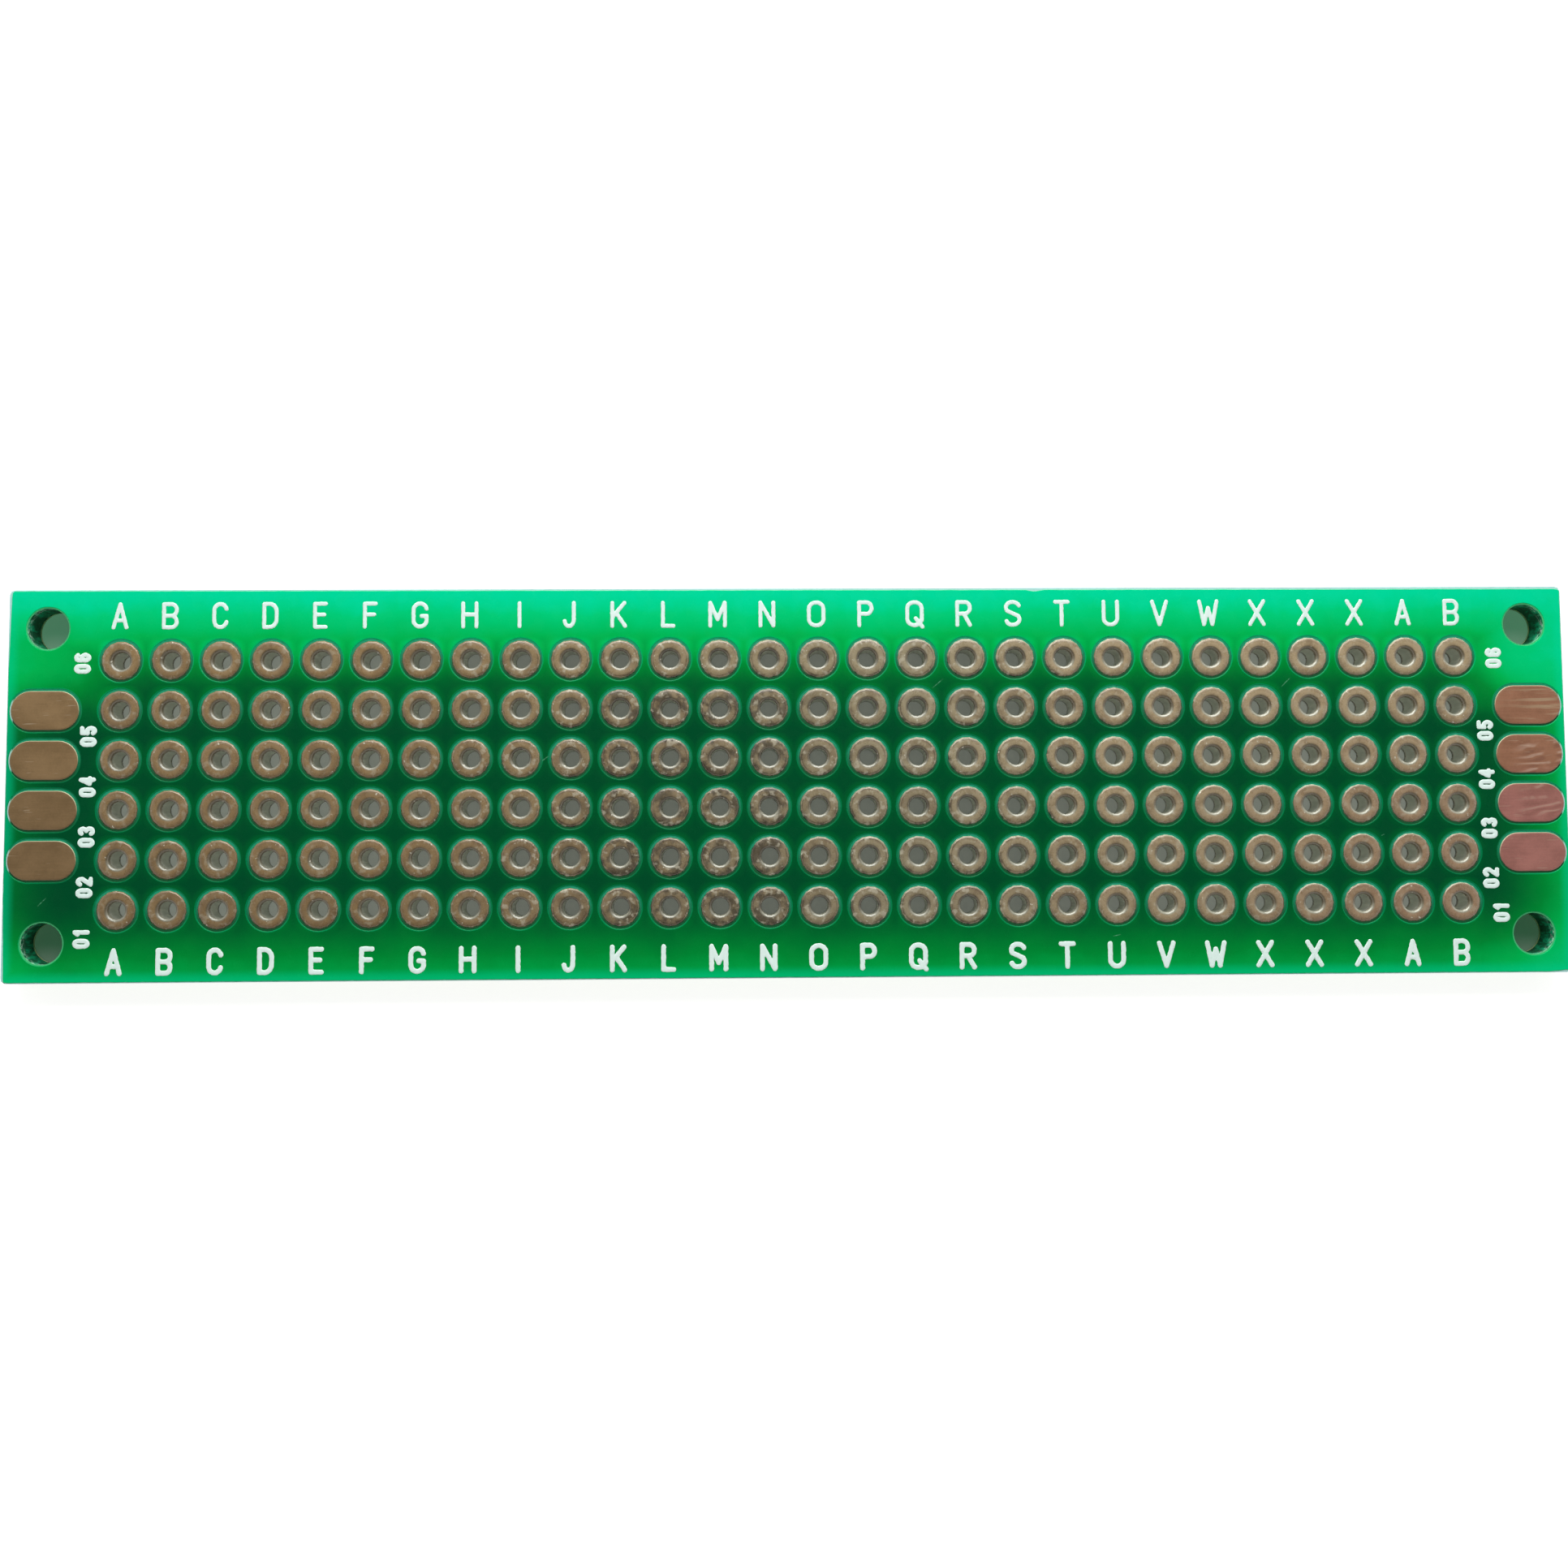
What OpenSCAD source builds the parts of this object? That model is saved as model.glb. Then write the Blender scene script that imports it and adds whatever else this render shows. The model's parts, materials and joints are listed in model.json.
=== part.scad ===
// Double-sided prototype board: a drilled glass-epoxy laminate with plated through-holes on a
// regular grid, oblong soldering pads at both ends, and a solder mask film on each face.
// The frame stands at the middle of the bottom face: +X along the board, +Y across it, +Z up.

/* [Board] */
// Length of the board, along X
board_length = 80; // [40:0.5:160]
// Width of the board, along Y
board_width = 20; // [14:0.5:36]
// Thickness of the bare laminate, without copper
laminate_thickness = 1.5; // [0.7:0.05:3.1]
// Radius of the board's corners, left by the routing
corner_radius = 0.25; // [0.1:0.05:1.5]

/* [Plated hole grid] */
// Distance between neighbouring holes, both ways
pitch = 2.54; // [2:0.01:5.08]
// Finished bore of a plated hole
hole_d = 0.9; // [0.6:0.05:1.3]
// Copper on the wall of a plated hole
plating_thickness = 0.03; // [0.02:0.005:0.05]
// Radius of the round knee at the mouth of a bore, as a share of the ring of copper round the bore
knee_share = 0.45; // [0.2:0.01:0.6]
// Bare strip left between the lands of neighbouring holes
land_spacing = 0.54; // [0.3:0.02:0.7]
// Least bare strip along each long edge, where the column letters are printed
letter_band = 2.6; // [1:0.1:5]

/* [Copper on the faces] */
// Thickness of a land or pad
copper_thickness = 0.05; // [0.03:0.005:0.1]
// Radius of the outer edge of a land or pad
copper_edge_radius = 0.025; // [0.01:0.005:0.03]
// Width of the flat ring round a knee, the highest part of a land
land_flat = 0.04; // [0.02:0.01:0.1]
// How far the face of a land falls from its flat ring to its rim
land_crown = 0.015; // [0.005:0.005:0.02]

/* [End pads] */
// Straight stretch of an end pad, between its round ends. It is as wide as a land.
end_pad_straight = 1.45; // [0.2:0.05:4]
// Strip of board between an end pad and the end of the board
end_pad_edge_gap = 0.2; // [0.15:0.05:1]
// Least strip between an end pad and the first column's lands, where the row numbers are printed
number_band = 0.95; // [0.4:0.05:3]

/* [Solder mask] */
// Thickness of the mask film
mask_thickness = 0.03; // [0.015:0.005:0.05]
// Gap between a land or pad and the edge of its opening in the mask
mask_clearance = 0.1; // [0.05:0.01:0.12]
// Strip of bare laminate left round the outline and the mounting holes
mask_pullback = 0.03; // [0.01:0.01:0.08]

/* [Mounting holes] */
// Bore of a mounting hole
mounting_hole_d = 2.1; // [1.5:0.05:3.2]
// Distance from a mounting hole's centre to both edges at its corner
mounting_inset = 2; // [1.8:0.05:4]
// Least strip between a mounting hole and an end pad
mounting_hole_land = 0.8; // [0.4:0.1:2]

/* [Hidden] */
$fn = 48;

// A cut runs this far past the faces that it opens
overcut = 1;

// Heights of the faces, from the plane that the board rests on
laminate_bottom = copper_thickness;
laminate_top = laminate_bottom + laminate_thickness;
board_top = laminate_top + copper_thickness;

// Plated hole. The laminate's drilled edge is round too, so the copper keeps its thickness there.
land_d = pitch - land_spacing;
drill_d = hole_d + 2 * plating_thickness;
knee_radius = knee_share * (land_d - hole_d) / 2;
drill_edge_radius = knee_radius - copper_thickness;

// Face of a land. It curves from the flat ring to the rim, where it runs into the round outer edge.
crown_start = hole_d / 2 + knee_radius + land_flat;
crown_span = land_d / 2 - copper_edge_radius - crown_start;
crown_radius = copper_edge_radius
    + (crown_span * crown_span + land_crown * land_crown) / (2 * land_crown);
crown_reach = crown_span + copper_edge_radius * crown_span / (crown_radius - copper_edge_radius);

// End pad
end_pad_width = land_d;
end_pad_length = end_pad_straight + end_pad_width;

// Clear length at each end and clear width at each side, up to the centres of the first holes
end_zone = max(end_pad_edge_gap + end_pad_length, mounting_inset + mounting_hole_d / 2)
    + number_band + land_d / 2;
side_zone = letter_band + land_d / 2;

// The grid takes as many holes as fit, and is centred
columns = floor((board_length - 2 * end_zone) / pitch) + 1;
rows = floor((board_width - 2 * side_zone) / pitch) + 1;
function column_x(column) = (column - (columns + 1) / 2) * pitch;
function row_y(row) = (row - (rows + 1) / 2) * pitch;

// End pads stand in line with each row that clears the mounting holes
mounting_x = board_length / 2 - mounting_inset;
mounting_y = board_width / 2 - mounting_inset;
end_pad_x = board_length / 2 - end_pad_edge_gap - end_pad_length / 2;
end_pad_reach = mounting_y - mounting_hole_d / 2 - mounting_hole_land - end_pad_width / 2;
end_pad_rows = [for (row = [1:rows]) if (abs(row_y(row)) <= end_pad_reach) row];

// Names of the sub-parts that repeat. Row 1 is at the -Y side.
ENDS = ["left", "right"];
FACES = ["top", "bottom"];
function row_name(row) = str("plated_holes_row_", row);
function pad_name(end, face, row) = str(end, "_end_pad_", face, "_", row);

// A rectangle with round corners, centred
module rounded_rectangle(length, width, radius) {
    square([length - 2 * radius, width], center = true);
    square([length, width - 2 * radius], center = true);
    for (x = [-1, 1], y = [-1, 1])
        translate([x * (length / 2 - radius), y * (width / 2 - radius)])
            circle(r = radius);
}

// An oblong along X with fully round ends, centred
module oblong(length, width) {
    square([length - width, width], center = true);
    for (x = [-1, 1])
        translate([x * (length - width) / 2, 0])
            circle(d = width);
}

// Places its children at the four mounting holes
module at_mounting_holes() {
    for (x = [-1, 1], y = [-1, 1])
        translate([x * mounting_x, y * mounting_y])
            children();
}

// Places its children at every hole of the grid
module at_plated_holes() {
    for (row = [1:rows], column = [1:columns])
        translate([column_x(column), row_y(row)])
            children();
}

// Places its children at the end pads of one face
module at_end_pads() {
    for (x = [-1, 1], row = end_pad_rows)
        translate([x * end_pad_x, row_y(row)])
            children();
}

// Draws its flat children for the top face, and again for the bottom face
module on_both_faces() {
    children();
    translate([0, board_top])
        mirror([0, 1])
            children();
}

// Half section of the mouth of a bore with a round edge, up to some height above the face
module mouth(bore_radius, edge_radius, face, above) {
    difference() {
        translate([0, face - edge_radius])
            square([bore_radius + edge_radius, edge_radius + above]);
        translate([bore_radius + edge_radius, face - edge_radius])
            circle(r = edge_radius);
    }
}

// Half section of what the drill and the rounding of its edges take out of the laminate
module drilled_half_section() {
    translate([0, -overcut])
        square([drill_d / 2, board_top + 2 * overcut]);
    on_both_faces() mouth(drill_d / 2, drill_edge_radius, laminate_top, overcut);
}

// The sheet, drilled for the plated holes and the mounting holes
module laminate() {
    color([0.47, 0.57, 0.33])
        difference() {
            translate([0, 0, laminate_bottom])
                linear_extrude(laminate_thickness)
                    difference() {
                        rounded_rectangle(board_length, board_width, corner_radius);
                        at_mounting_holes() circle(d = mounting_hole_d);
                    }
            at_plated_holes()
                rotate_extrude()
                    drilled_half_section();
        }
}

// One face's mask film, with an opening round each land, pad and mounting hole
module mask_film() {
    color([0, 0.45, 0.22])
        linear_extrude(mask_thickness)
            difference() {
                rounded_rectangle(
                    board_length - 2 * mask_pullback,
                    board_width - 2 * mask_pullback,
                    corner_radius - mask_pullback
                );
                at_mounting_holes() circle(d = mounting_hole_d + 2 * mask_pullback);
                at_plated_holes() circle(d = land_d + 2 * mask_clearance);
                at_end_pads()
                    oblong(end_pad_length + 2 * mask_clearance, end_pad_width + 2 * mask_clearance);
            }
}

module solder_mask_top() {
    translate([0, 0, laminate_top]) mask_film();
}

module solder_mask_bottom() {
    translate([0, 0, laminate_bottom - mask_thickness]) mask_film();
}

// Half section of an end pad that stands on its under side: from its middle to its outer edge,
// which is round at the top
module copper_half_section(half_width) {
    square([half_width - copper_edge_radius, copper_thickness]);
    square([half_width, copper_thickness - copper_edge_radius]);
    translate([half_width - copper_edge_radius, copper_thickness - copper_edge_radius])
        circle(r = copper_edge_radius);
}

// Half section of a land that stands on its under side, with its crowned face and round rim. The
// crown bends so little that its circle needs many facets.
module land_half_section() {
    crown_end = crown_start + crown_reach;
    rim_centre = [land_d / 2 - copper_edge_radius, copper_thickness - land_crown - copper_edge_radius];
    difference() {
        square([land_d / 2, copper_thickness]);
        difference() {
            translate([crown_start, 0])
                square([crown_reach, copper_thickness + overcut]);
            translate([crown_start, copper_thickness - crown_radius])
                circle(r = crown_radius, $fn = 960);
        }
        difference() {
            translate([crown_end, rim_centre[1]])
                square([land_d / 2 - crown_end + overcut, copper_thickness + overcut]);
            translate(rim_centre)
                circle(r = copper_edge_radius);
        }
    }
}

// One plated through-hole as a single piece of copper: two lands, joined by round knees and a
// thin barrel. It fills what was taken out of the laminate, up to its bore.
module plated_hole() {
    rotate_extrude()
        difference() {
            union() {
                on_both_faces()
                    translate([0, laminate_top])
                        land_half_section();
                square([drill_d / 2, board_top]);
                on_both_faces() mouth(drill_d / 2, drill_edge_radius, laminate_top, copper_thickness / 2);
            }
            translate([0, -overcut])
                square([hole_d / 2, board_top + 2 * overcut]);
            on_both_faces() mouth(hole_d / 2, knee_radius, board_top, overcut);
        }
}

module plated_holes_row(row) {
    color([0.54, 0.42, 0.3])
        for (column = [1:columns])
            translate([column_x(column), row_y(row), 0])
                plated_hole();
}

// One oblong pad of copper that stands on its under side: a straight bar between two round ends
module end_pad() {
    rotate([90, 0, 90])
        linear_extrude(end_pad_straight, center = true)
            for (side = [0, 1])
                mirror([side, 0])
                    copper_half_section(end_pad_width / 2);
    for (x = [-1, 1])
        translate([x * end_pad_straight / 2, 0, 0])
            rotate_extrude()
                copper_half_section(end_pad_width / 2);
}

// Puts an end pad on one end and face of the board, in line with a row
module placed_end_pad(end, face, row) {
    x = end == "left" ? -end_pad_x : end_pad_x;
    color([0.54, 0.42, 0.3])
        translate([x, row_y(row), face == "top" ? laminate_top : laminate_bottom])
            mirror([0, 0, face == "top" ? 0 : 1])
                end_pad();
}

laminate();
solder_mask_top();
solder_mask_bottom();
for (row = [1:rows])
    plated_holes_row(row);
for (end = ENDS, face = FACES, row = end_pad_rows)
    placed_end_pad(end, face, row);
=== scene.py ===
"""Prototype board: makes the visible pieces of a bare double-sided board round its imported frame.

Lengths are in metres in the frame's own axes: +X along the board, +Y across it and +Z up, from the
middle of the bottom face. Each piece has its own operator, which the panel in the 3D view lists.
"""

import json
import math

import bpy
import numpy as np
from bpy.props import (
    FloatProperty,
    FloatVectorProperty,
    IntProperty,
    PointerProperty,
    StringProperty,
)
from bpy.types import Operator, Panel, PropertyGroup
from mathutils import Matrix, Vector, noise


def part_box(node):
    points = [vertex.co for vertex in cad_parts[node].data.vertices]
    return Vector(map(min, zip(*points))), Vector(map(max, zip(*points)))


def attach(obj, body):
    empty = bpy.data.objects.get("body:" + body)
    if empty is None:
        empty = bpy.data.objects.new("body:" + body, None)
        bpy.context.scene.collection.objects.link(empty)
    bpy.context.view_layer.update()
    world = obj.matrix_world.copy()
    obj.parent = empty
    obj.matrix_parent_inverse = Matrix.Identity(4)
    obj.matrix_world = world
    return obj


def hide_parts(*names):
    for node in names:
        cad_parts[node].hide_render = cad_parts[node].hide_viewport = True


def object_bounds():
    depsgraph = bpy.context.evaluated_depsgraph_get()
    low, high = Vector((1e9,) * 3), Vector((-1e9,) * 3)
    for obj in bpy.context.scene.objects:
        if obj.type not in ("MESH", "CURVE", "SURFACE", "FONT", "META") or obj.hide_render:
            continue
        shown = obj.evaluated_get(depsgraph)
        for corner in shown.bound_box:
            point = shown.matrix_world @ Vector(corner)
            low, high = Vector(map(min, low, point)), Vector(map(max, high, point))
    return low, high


bl_info = {
    "name": "Prototype Board",
    "version": (1, 0, 0),
    "blender": (4, 5, 0),
    "location": "3D View > Sidebar > Board",
    "description": "Makes a bare double-sided prototype board with plated holes and printed legend",
    "category": "Add Mesh",
}

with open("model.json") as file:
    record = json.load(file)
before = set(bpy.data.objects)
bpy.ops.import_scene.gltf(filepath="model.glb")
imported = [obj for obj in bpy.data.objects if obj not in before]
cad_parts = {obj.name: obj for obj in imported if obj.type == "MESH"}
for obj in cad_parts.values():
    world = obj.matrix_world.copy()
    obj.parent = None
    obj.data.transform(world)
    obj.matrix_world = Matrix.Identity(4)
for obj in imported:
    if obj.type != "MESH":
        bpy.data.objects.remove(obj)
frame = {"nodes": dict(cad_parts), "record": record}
CAD_LOW, CAD_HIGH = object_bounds()

MM = 0.001
BODY = "root"


# ---------------------------------------------------------------------------------------------
# Sizes that the frame gives
# ---------------------------------------------------------------------------------------------


def mount_sizes(name):
    """The stated sizes of one of the record's mounts, in millimetres."""
    return next(m["dims"] for m in frame["record"]["mounts"] if m["name"] == name)


LEAD_HOLES = mount_sizes("lead_holes")
MOUNTING_HOLES = mount_sizes("mounting_holes")

LAMINATE_LOW, LAMINATE_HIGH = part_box("laminate")
TOP_FILM_LOW, TOP_FILM_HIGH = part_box("solder_mask_top")
BOTTOM_FILM_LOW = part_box("solder_mask_bottom")[0]

ROW_NODES = sorted(name for name in frame["nodes"] if name.startswith("plated_holes_row_"))
PAD_NODES = sorted(name for name in frame["nodes"] if "_end_pad_" in name)

PITCH = LEAD_HOLES["spacing_x_mm"] * MM
BORE_RADIUS = LEAD_HOLES["hole_r_mm"] * MM
ROWS = len(ROW_NODES)
COLUMNS = LEAD_HOLES["count"] // ROWS
ROW_LOW, ROW_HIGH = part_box(ROW_NODES[0])
LAND_RADIUS = (ROW_HIGH.y - ROW_LOW.y) / 2

MOUNTING_RADIUS = MOUNTING_HOLES["hole_r_mm"] * MM
MOUNTING_X = MOUNTING_HOLES["spacing_x_mm"] * MM / 2
MOUNTING_Y = MOUNTING_HOLES["spacing_y_mm"] * MM / 2

PAD_LOW, PAD_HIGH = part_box(PAD_NODES[0])
PAD_LENGTH = PAD_HIGH.x - PAD_LOW.x
PAD_WIDTH = PAD_HIGH.y - PAD_LOW.y


def centre(node):
    """The middle of a node's box."""
    low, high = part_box(node)
    return (low + high) / 2


PAD_X = abs(centre(PAD_NODES[0]).x)
PAD_YS = sorted({round(centre(name).y, 6) for name in PAD_NODES})
ROW_YS = [centre(name).y for name in ROW_NODES]


# ---------------------------------------------------------------------------------------------
# Sizes that nobody needs to change
# ---------------------------------------------------------------------------------------------

# Least radius of a sheet's corners
LEAST_CORNER = 0.02 * MM
# Spacing of the points along a sheet's outline
OUTLINE_STEP = 0.2 * MM
# A point this near to the board's outline lies on it
OUTLINE_BAND = 0.13 * MM
# The openings of the end pads stay further than this from the board's ends
END_BAND = 0.1 * MM
# Spacing of the wavers of a sheet's edge
WAVER_SPACING = 0.5 * MM
# The top mask's skew: its share at the -X end of the +Y edge, the stretch over which it grows along
# the -X end, and how far from the +X end it starts at the -Y edge
SKEW_LEFT, SKEW_END_SPAN, SKEW_CORNER = 0.25, 4 * MM, 1.2 * MM
# Radius of an end pad's corners as a share of the round one, which would double points
NEARLY_ROUND = 0.99
# Share of its height by which an end pad's face dips at most, and the spacing of the dips
PAD_DIP, PAD_DIP_SPACING = 0.06, 0.9 * MM
# Distances from an end pad's outline to the rings of points on its face, in millimetres
PAD_FACE_INSETS = (0.2, 0.35, 0.5, 0.65, 0.8)
# Steps and power of the curves of a land's crown, of a bore's knee and of an end pad's edge
CROWN_CURVE, KNEE_CURVE, PAD_EDGE_CURVE = (2, 1.9), (4, 3.0), (4, 2.4)
# Dents of a plated hole: those near its mouth reach this far, or to this share of its land, and
# those of its lands lie this near to their faces
MOUTH_BAND, MOUTH_LIMIT, MOUTH_DENT = 0.3 * MM, 0.7, 0.012 * MM
LAND_BAND, LAND_DENT = 0.02 * MM, 0.003 * MM
# The greater this is, the more dents there are round a hole
DENT_REACH = 1.4
# Shares of half a stroke: how far its edge strays, how wide its rounded shoulder is, and how far
# round it the ink can reach
INK_FRAY, INK_SHOULDER, INK_REACH = 0.13, 0.7, 1.5
# Spacings of the strays of that edge
FRAY_COARSE, FRAY_FINE = 0.16 * MM, 0.07 * MM
# Gap between the two digits of a row number
NUMBER_GAP = 0.07 * MM


# ---------------------------------------------------------------------------------------------
# Sizes and colours that a user can change
# ---------------------------------------------------------------------------------------------


def srgb(red, green, blue):
    """A colour written from 0 to 255, as the linear values that a shader takes."""
    return tuple(
        c / 12.92 if c <= 0.04045 else ((c + 0.055) / 1.055) ** 2.4
        for c in (red / 255, green / 255, blue / 255)
    )


def length(label, text, millimetres, least=0.0, most=100.0):
    """A size that a user can change."""
    return FloatProperty(
        name=label,
        description=text,
        default=millimetres * MM,
        min=least * MM,
        max=most * MM,
        precision=5,
        subtype="DISTANCE",
        unit="LENGTH",
    )


def colour(label, text, red, green, blue):
    """A colour that a user can change."""
    return FloatVectorProperty(
        name=label,
        description=text,
        default=srgb(red, green, blue),
        min=0.0,
        max=1.0,
        size=3,
        subtype="COLOR",
    )


class BoardSizes(PropertyGroup):
    """Sizes of the forms that the frame leaves to the looks."""

    corner_radius: length("Corner radius", "Radius of the laminate's corners", 0.25)
    drilled_edge: length("Drilled edge", "Radius of the laminate's edge round a plated hole", 0.19)
    arris: length("Arris", "Width of the broken edge round the laminate", 0.03)
    mounting_ring: length("Mounting ring", "Bare ring round a mounting hole", 0.07)
    drill_gap: length("Barrel wall", "Copper between a bore and the laminate's drilled wall", 0.03)
    mask_clearance: length("Mask clearance", "Bare ring round a land or pad", 0.1)
    mask_end_clearance: length("Mask end clearance", "Bare strip beyond an end pad", 0.06)
    mask_pullback: length("Mask pullback", "Bare strip along the outline", 0.05)
    mask_lip: length("Mask lip", "Width of the mask's rolled edge round a land", 0.08)
    mask_edge_lip: length("Mask edge lip", "Width of the mask's rolled edge elsewhere", 0.03)
    mask_waver: length("Mask waver", "How far the mask's edge strays", 0.014)
    mask_skew: length("Mask skew", "How far the top mask stands back where its print is off", 0.09)
    nick_position: length("Nick position", "Middle of the nick in the top mask's +Y edge", 12.5)
    nick_length: length("Nick length", "Length of the nick", 0.8)
    nick_depth: length("Nick depth", "Depth of the nick", 0.07)
    crown_radius: length("Crown radius", "Radius of the highest ring of a land", 0.73)
    knee_depth: length("Knee depth", "Height over which the mouth of a bore turns down", 0.17)
    pad_edge: length("Pad edge", "Width of the round edge of an end pad", 0.09)
    drift: length("Drift", "How far a land's shape strays from its place", 0.012)


class LegendSizes(PropertyGroup):
    """Sizes of the printed letters and numbers."""

    cap_height: length("Letter height", "Height of a letter over its strokes", 1.4)
    stroke: length("Top stroke", "Stroke width of the letters at the +Y edge", 0.205)
    bold_stroke: length("Bottom stroke", "Stroke width of the letters at the -Y edge", 0.25)
    top_line: length("Top line", "Foot of the letters at the +Y edge", 7.95)
    bottom_line: length("Bottom line", "Foot of the letters at the -Y edge", -9.64, -100.0)
    letter_shift: length("Letter shift", "Sideways shift of the letters", -0.08, -10.0)
    number_height: length("Number height", "Height of a row number over its strokes", 0.87)
    number_length: length("Number length", "Length of a row number over its strokes", 1.08)
    number_stroke: length("Number stroke", "Stroke width of the row numbers", 0.225)
    number_x: length("Number place", "Distance of the row numbers from the middle", 35.85)
    ink_height: length("Ink height", "Thickness of the ink", 0.012)
    ink_grid: length("Ink grid", "Spacing of the points that the ink is drawn on", 0.045)
    letters: StringProperty(
        name="Letters",
        description="Column letters, from the first column to the last",
        default="ABCDEFGHIJKLMNOPQRSTUVWXXXAB",
    )


class BoardColours(PropertyGroup):
    """Colours of the finishes."""

    # The mask's greens carry painted light: painted shade over the middle of the sheet, and a
    # painted glow that grows towards its edges
    mask_painted_shade: colour("Mask, middle", "Mask over the middle of the sheet", 1, 78, 42)
    mask_painted_dim: colour("Mask, dim", "Mask a little nearer to an edge", 1, 101, 46)
    mask_painted_lit: colour("Mask, lit", "Mask towards the edges of the sheet", 0, 142, 55)
    mask_painted_glow: colour("Mask, bright", "Mask where the sheet glows", 0, 187, 84)
    mask_painted_margin_glow: colour("Mask, margin", "Mask along the brightest margin", 0, 211, 124)
    mask_painted_edge_glow: colour("Mask, edge", "Mask at the very edge", 0, 224, 160)
    scratch: colour("Scratch", "Fine scratches in the mask", 120, 200, 160)
    # The mask's rolled edge is painted lighter as a highlight, in a lit copy and a shaded copy
    ring_lit: colour("Ring, lit", "Rolled edge of the mask on a land's +Y side", 2, 124, 77)
    ring_shade: colour("Ring, shade", "Rolled edge of the mask on a land's -Y side", 1, 108, 62)
    # The laminate in the ring round a land is painted lit on the land's +Y side and shaded on its
    # -Y side
    gap_lit: colour("Gap, lit", "Laminate in the ring on the +Y side of a land", 18, 160, 116)
    gap_shade: colour("Gap, shade", "Laminate in the ring on the -Y side of a land", 0, 84, 44)
    arris: colour("Arris", "Broken edge of the laminate", 190, 235, 232)
    arris_dim: colour("Arris, dim", "Darker flecks in the broken edge", 150, 214, 196)
    side: colour("Side", "Sawn side of the laminate", 122, 146, 86)
    side_lit: colour("Side, lit", "Paler streaks of the sawn side", 150, 172, 112)
    drilled: colour("Drilled wall", "Wall of a mounting hole", 2, 84, 52)
    drilled_lit: colour("Drilled wall, lit", "Lighter streaks of a mounting hole", 8, 158, 108)
    mouth: colour("Mouth", "Broken edge of a mounting hole", 72, 190, 120)
    # The lower edge of a drilled wall is painted pale as light, so that it shows in the hole's
    # shade
    foot: colour("Foot", "Lower edge of a drilled wall", 236, 252, 184)
    fibre: colour("Fibre", "Glass fibre ends in a drilled wall", 200, 236, 214)
    # Tones of the lands along X: partly the coat's own, partly painted reflection
    copper_left: colour("Copper, left", "Lands at the -X end", 152, 126, 88)
    copper_middle: colour("Copper, middle", "Lands in the middle", 163, 151, 121)
    copper_right: colour("Copper, right", "Lands at the +X end", 177, 157, 123)
    copper_ruddy: colour("Copper, ruddy", "Lands at the front right", 166, 127, 101)
    copper_dull: colour("Copper, dull", "Darker tarnish on the lands", 112, 91, 67)
    # Small pale flecks painted on the lands as glints
    copper_glint: colour("Copper, bright", "Bare flecks on the lands", 226, 222, 202)
    soot: colour("Soot", "Black coat on the lands left of the middle", 66, 62, 52)
    contour: colour("Contour", "Broken dark line near the rim of a worn land", 84, 70, 54)
    # Painted highlight on the rims of the lands
    crest_highlight: colour("Crest", "Pale line along the rim of a land, on its +Y side", 214, 222, 196)
    film: colour("Film", "Pale patches of coat on the lands", 200, 192, 168)
    barrel: colour("Barrel", "Plating inside a bore", 238, 240, 228)
    barrel_dim: colour("Barrel, dim", "Dull streaks inside a bore", 206, 208, 196)
    knee_lit: colour("Knee, lit", "Plating where a land turns down, -Y side", 154, 153, 134)
    knee_shade: colour("Knee, shade", "Plating where a land turns down, +Y side", 106, 95, 73)
    # Grime and painted shade, on the rims of the lands and on the shaded side of their knees
    shade_and_grime: colour("Grime", "Dark stain at the rim of a land", 60, 54, 42)
    pad_left_back: colour("Pads, left back", "End pads at the -X end, +Y side", 142, 114, 76)
    pad_left_front: colour("Pads, left front", "End pads at the -X end, -Y side", 129, 103, 68)
    pad_right_back: colour("Pads, right back", "End pads at the +X end, +Y side", 158, 110, 82)
    pad_right_front: colour("Pads, right front", "End pads at the +X end, -Y side", 168, 111, 100)
    # Painted highlight on the rounded edge of an end pad that faces the light
    pad_rim_highlight: colour("Pads, rim", "Rounded edge of an end pad that faces +Y", 196, 204, 166)
    pad_scuff: colour("Pads, scuffs", "Fine scuffs on the end pads", 205, 186, 160)
    pad_streak: colour("Pads, streaks", "Streaks of coat on the back pad at +X", 182, 156, 124)
    ripple_pale: colour("Ripples, pale", "Ripples of coat on the pads at +X", 202, 170, 150)
    # Painted shade in the hollows between the ripples
    ripple_hollow_shade: colour("Ripples, dark", "Hollows between the ripples", 120, 78, 62)
    ink: colour("Ink", "Printed letters and numbers", 234, 254, 246)
    ink_thin: colour("Ink, thin", "Ink where the mask shows through", 160, 226, 192)


class StageSizes(PropertyGroup):
    """Sizes of the stage, and how finely the plated holes are made."""

    floor_half: FloatProperty(
        name="Floor half width", description="Half the floor's width", default=3.0, unit="LENGTH"
    )
    window_strength: FloatProperty(
        name="Window",
        description="Light of the panel at the +Y side, as a share of its usual light",
        default=1.0,
        min=0.0,
        subtype="FACTOR",
    )
    facets: IntProperty(
        name="Facets", description="Facets round a plated hole", default=16, min=8, max=64
    )


def sizes():
    return bpy.context.scene.board_sizes


def legend_sizes():
    return bpy.context.scene.board_legend


def colours():
    return bpy.context.scene.board_colours


def stage_sizes():
    return bpy.context.scene.board_stage


# ---------------------------------------------------------------------------------------------
# Node trees
# ---------------------------------------------------------------------------------------------


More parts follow.
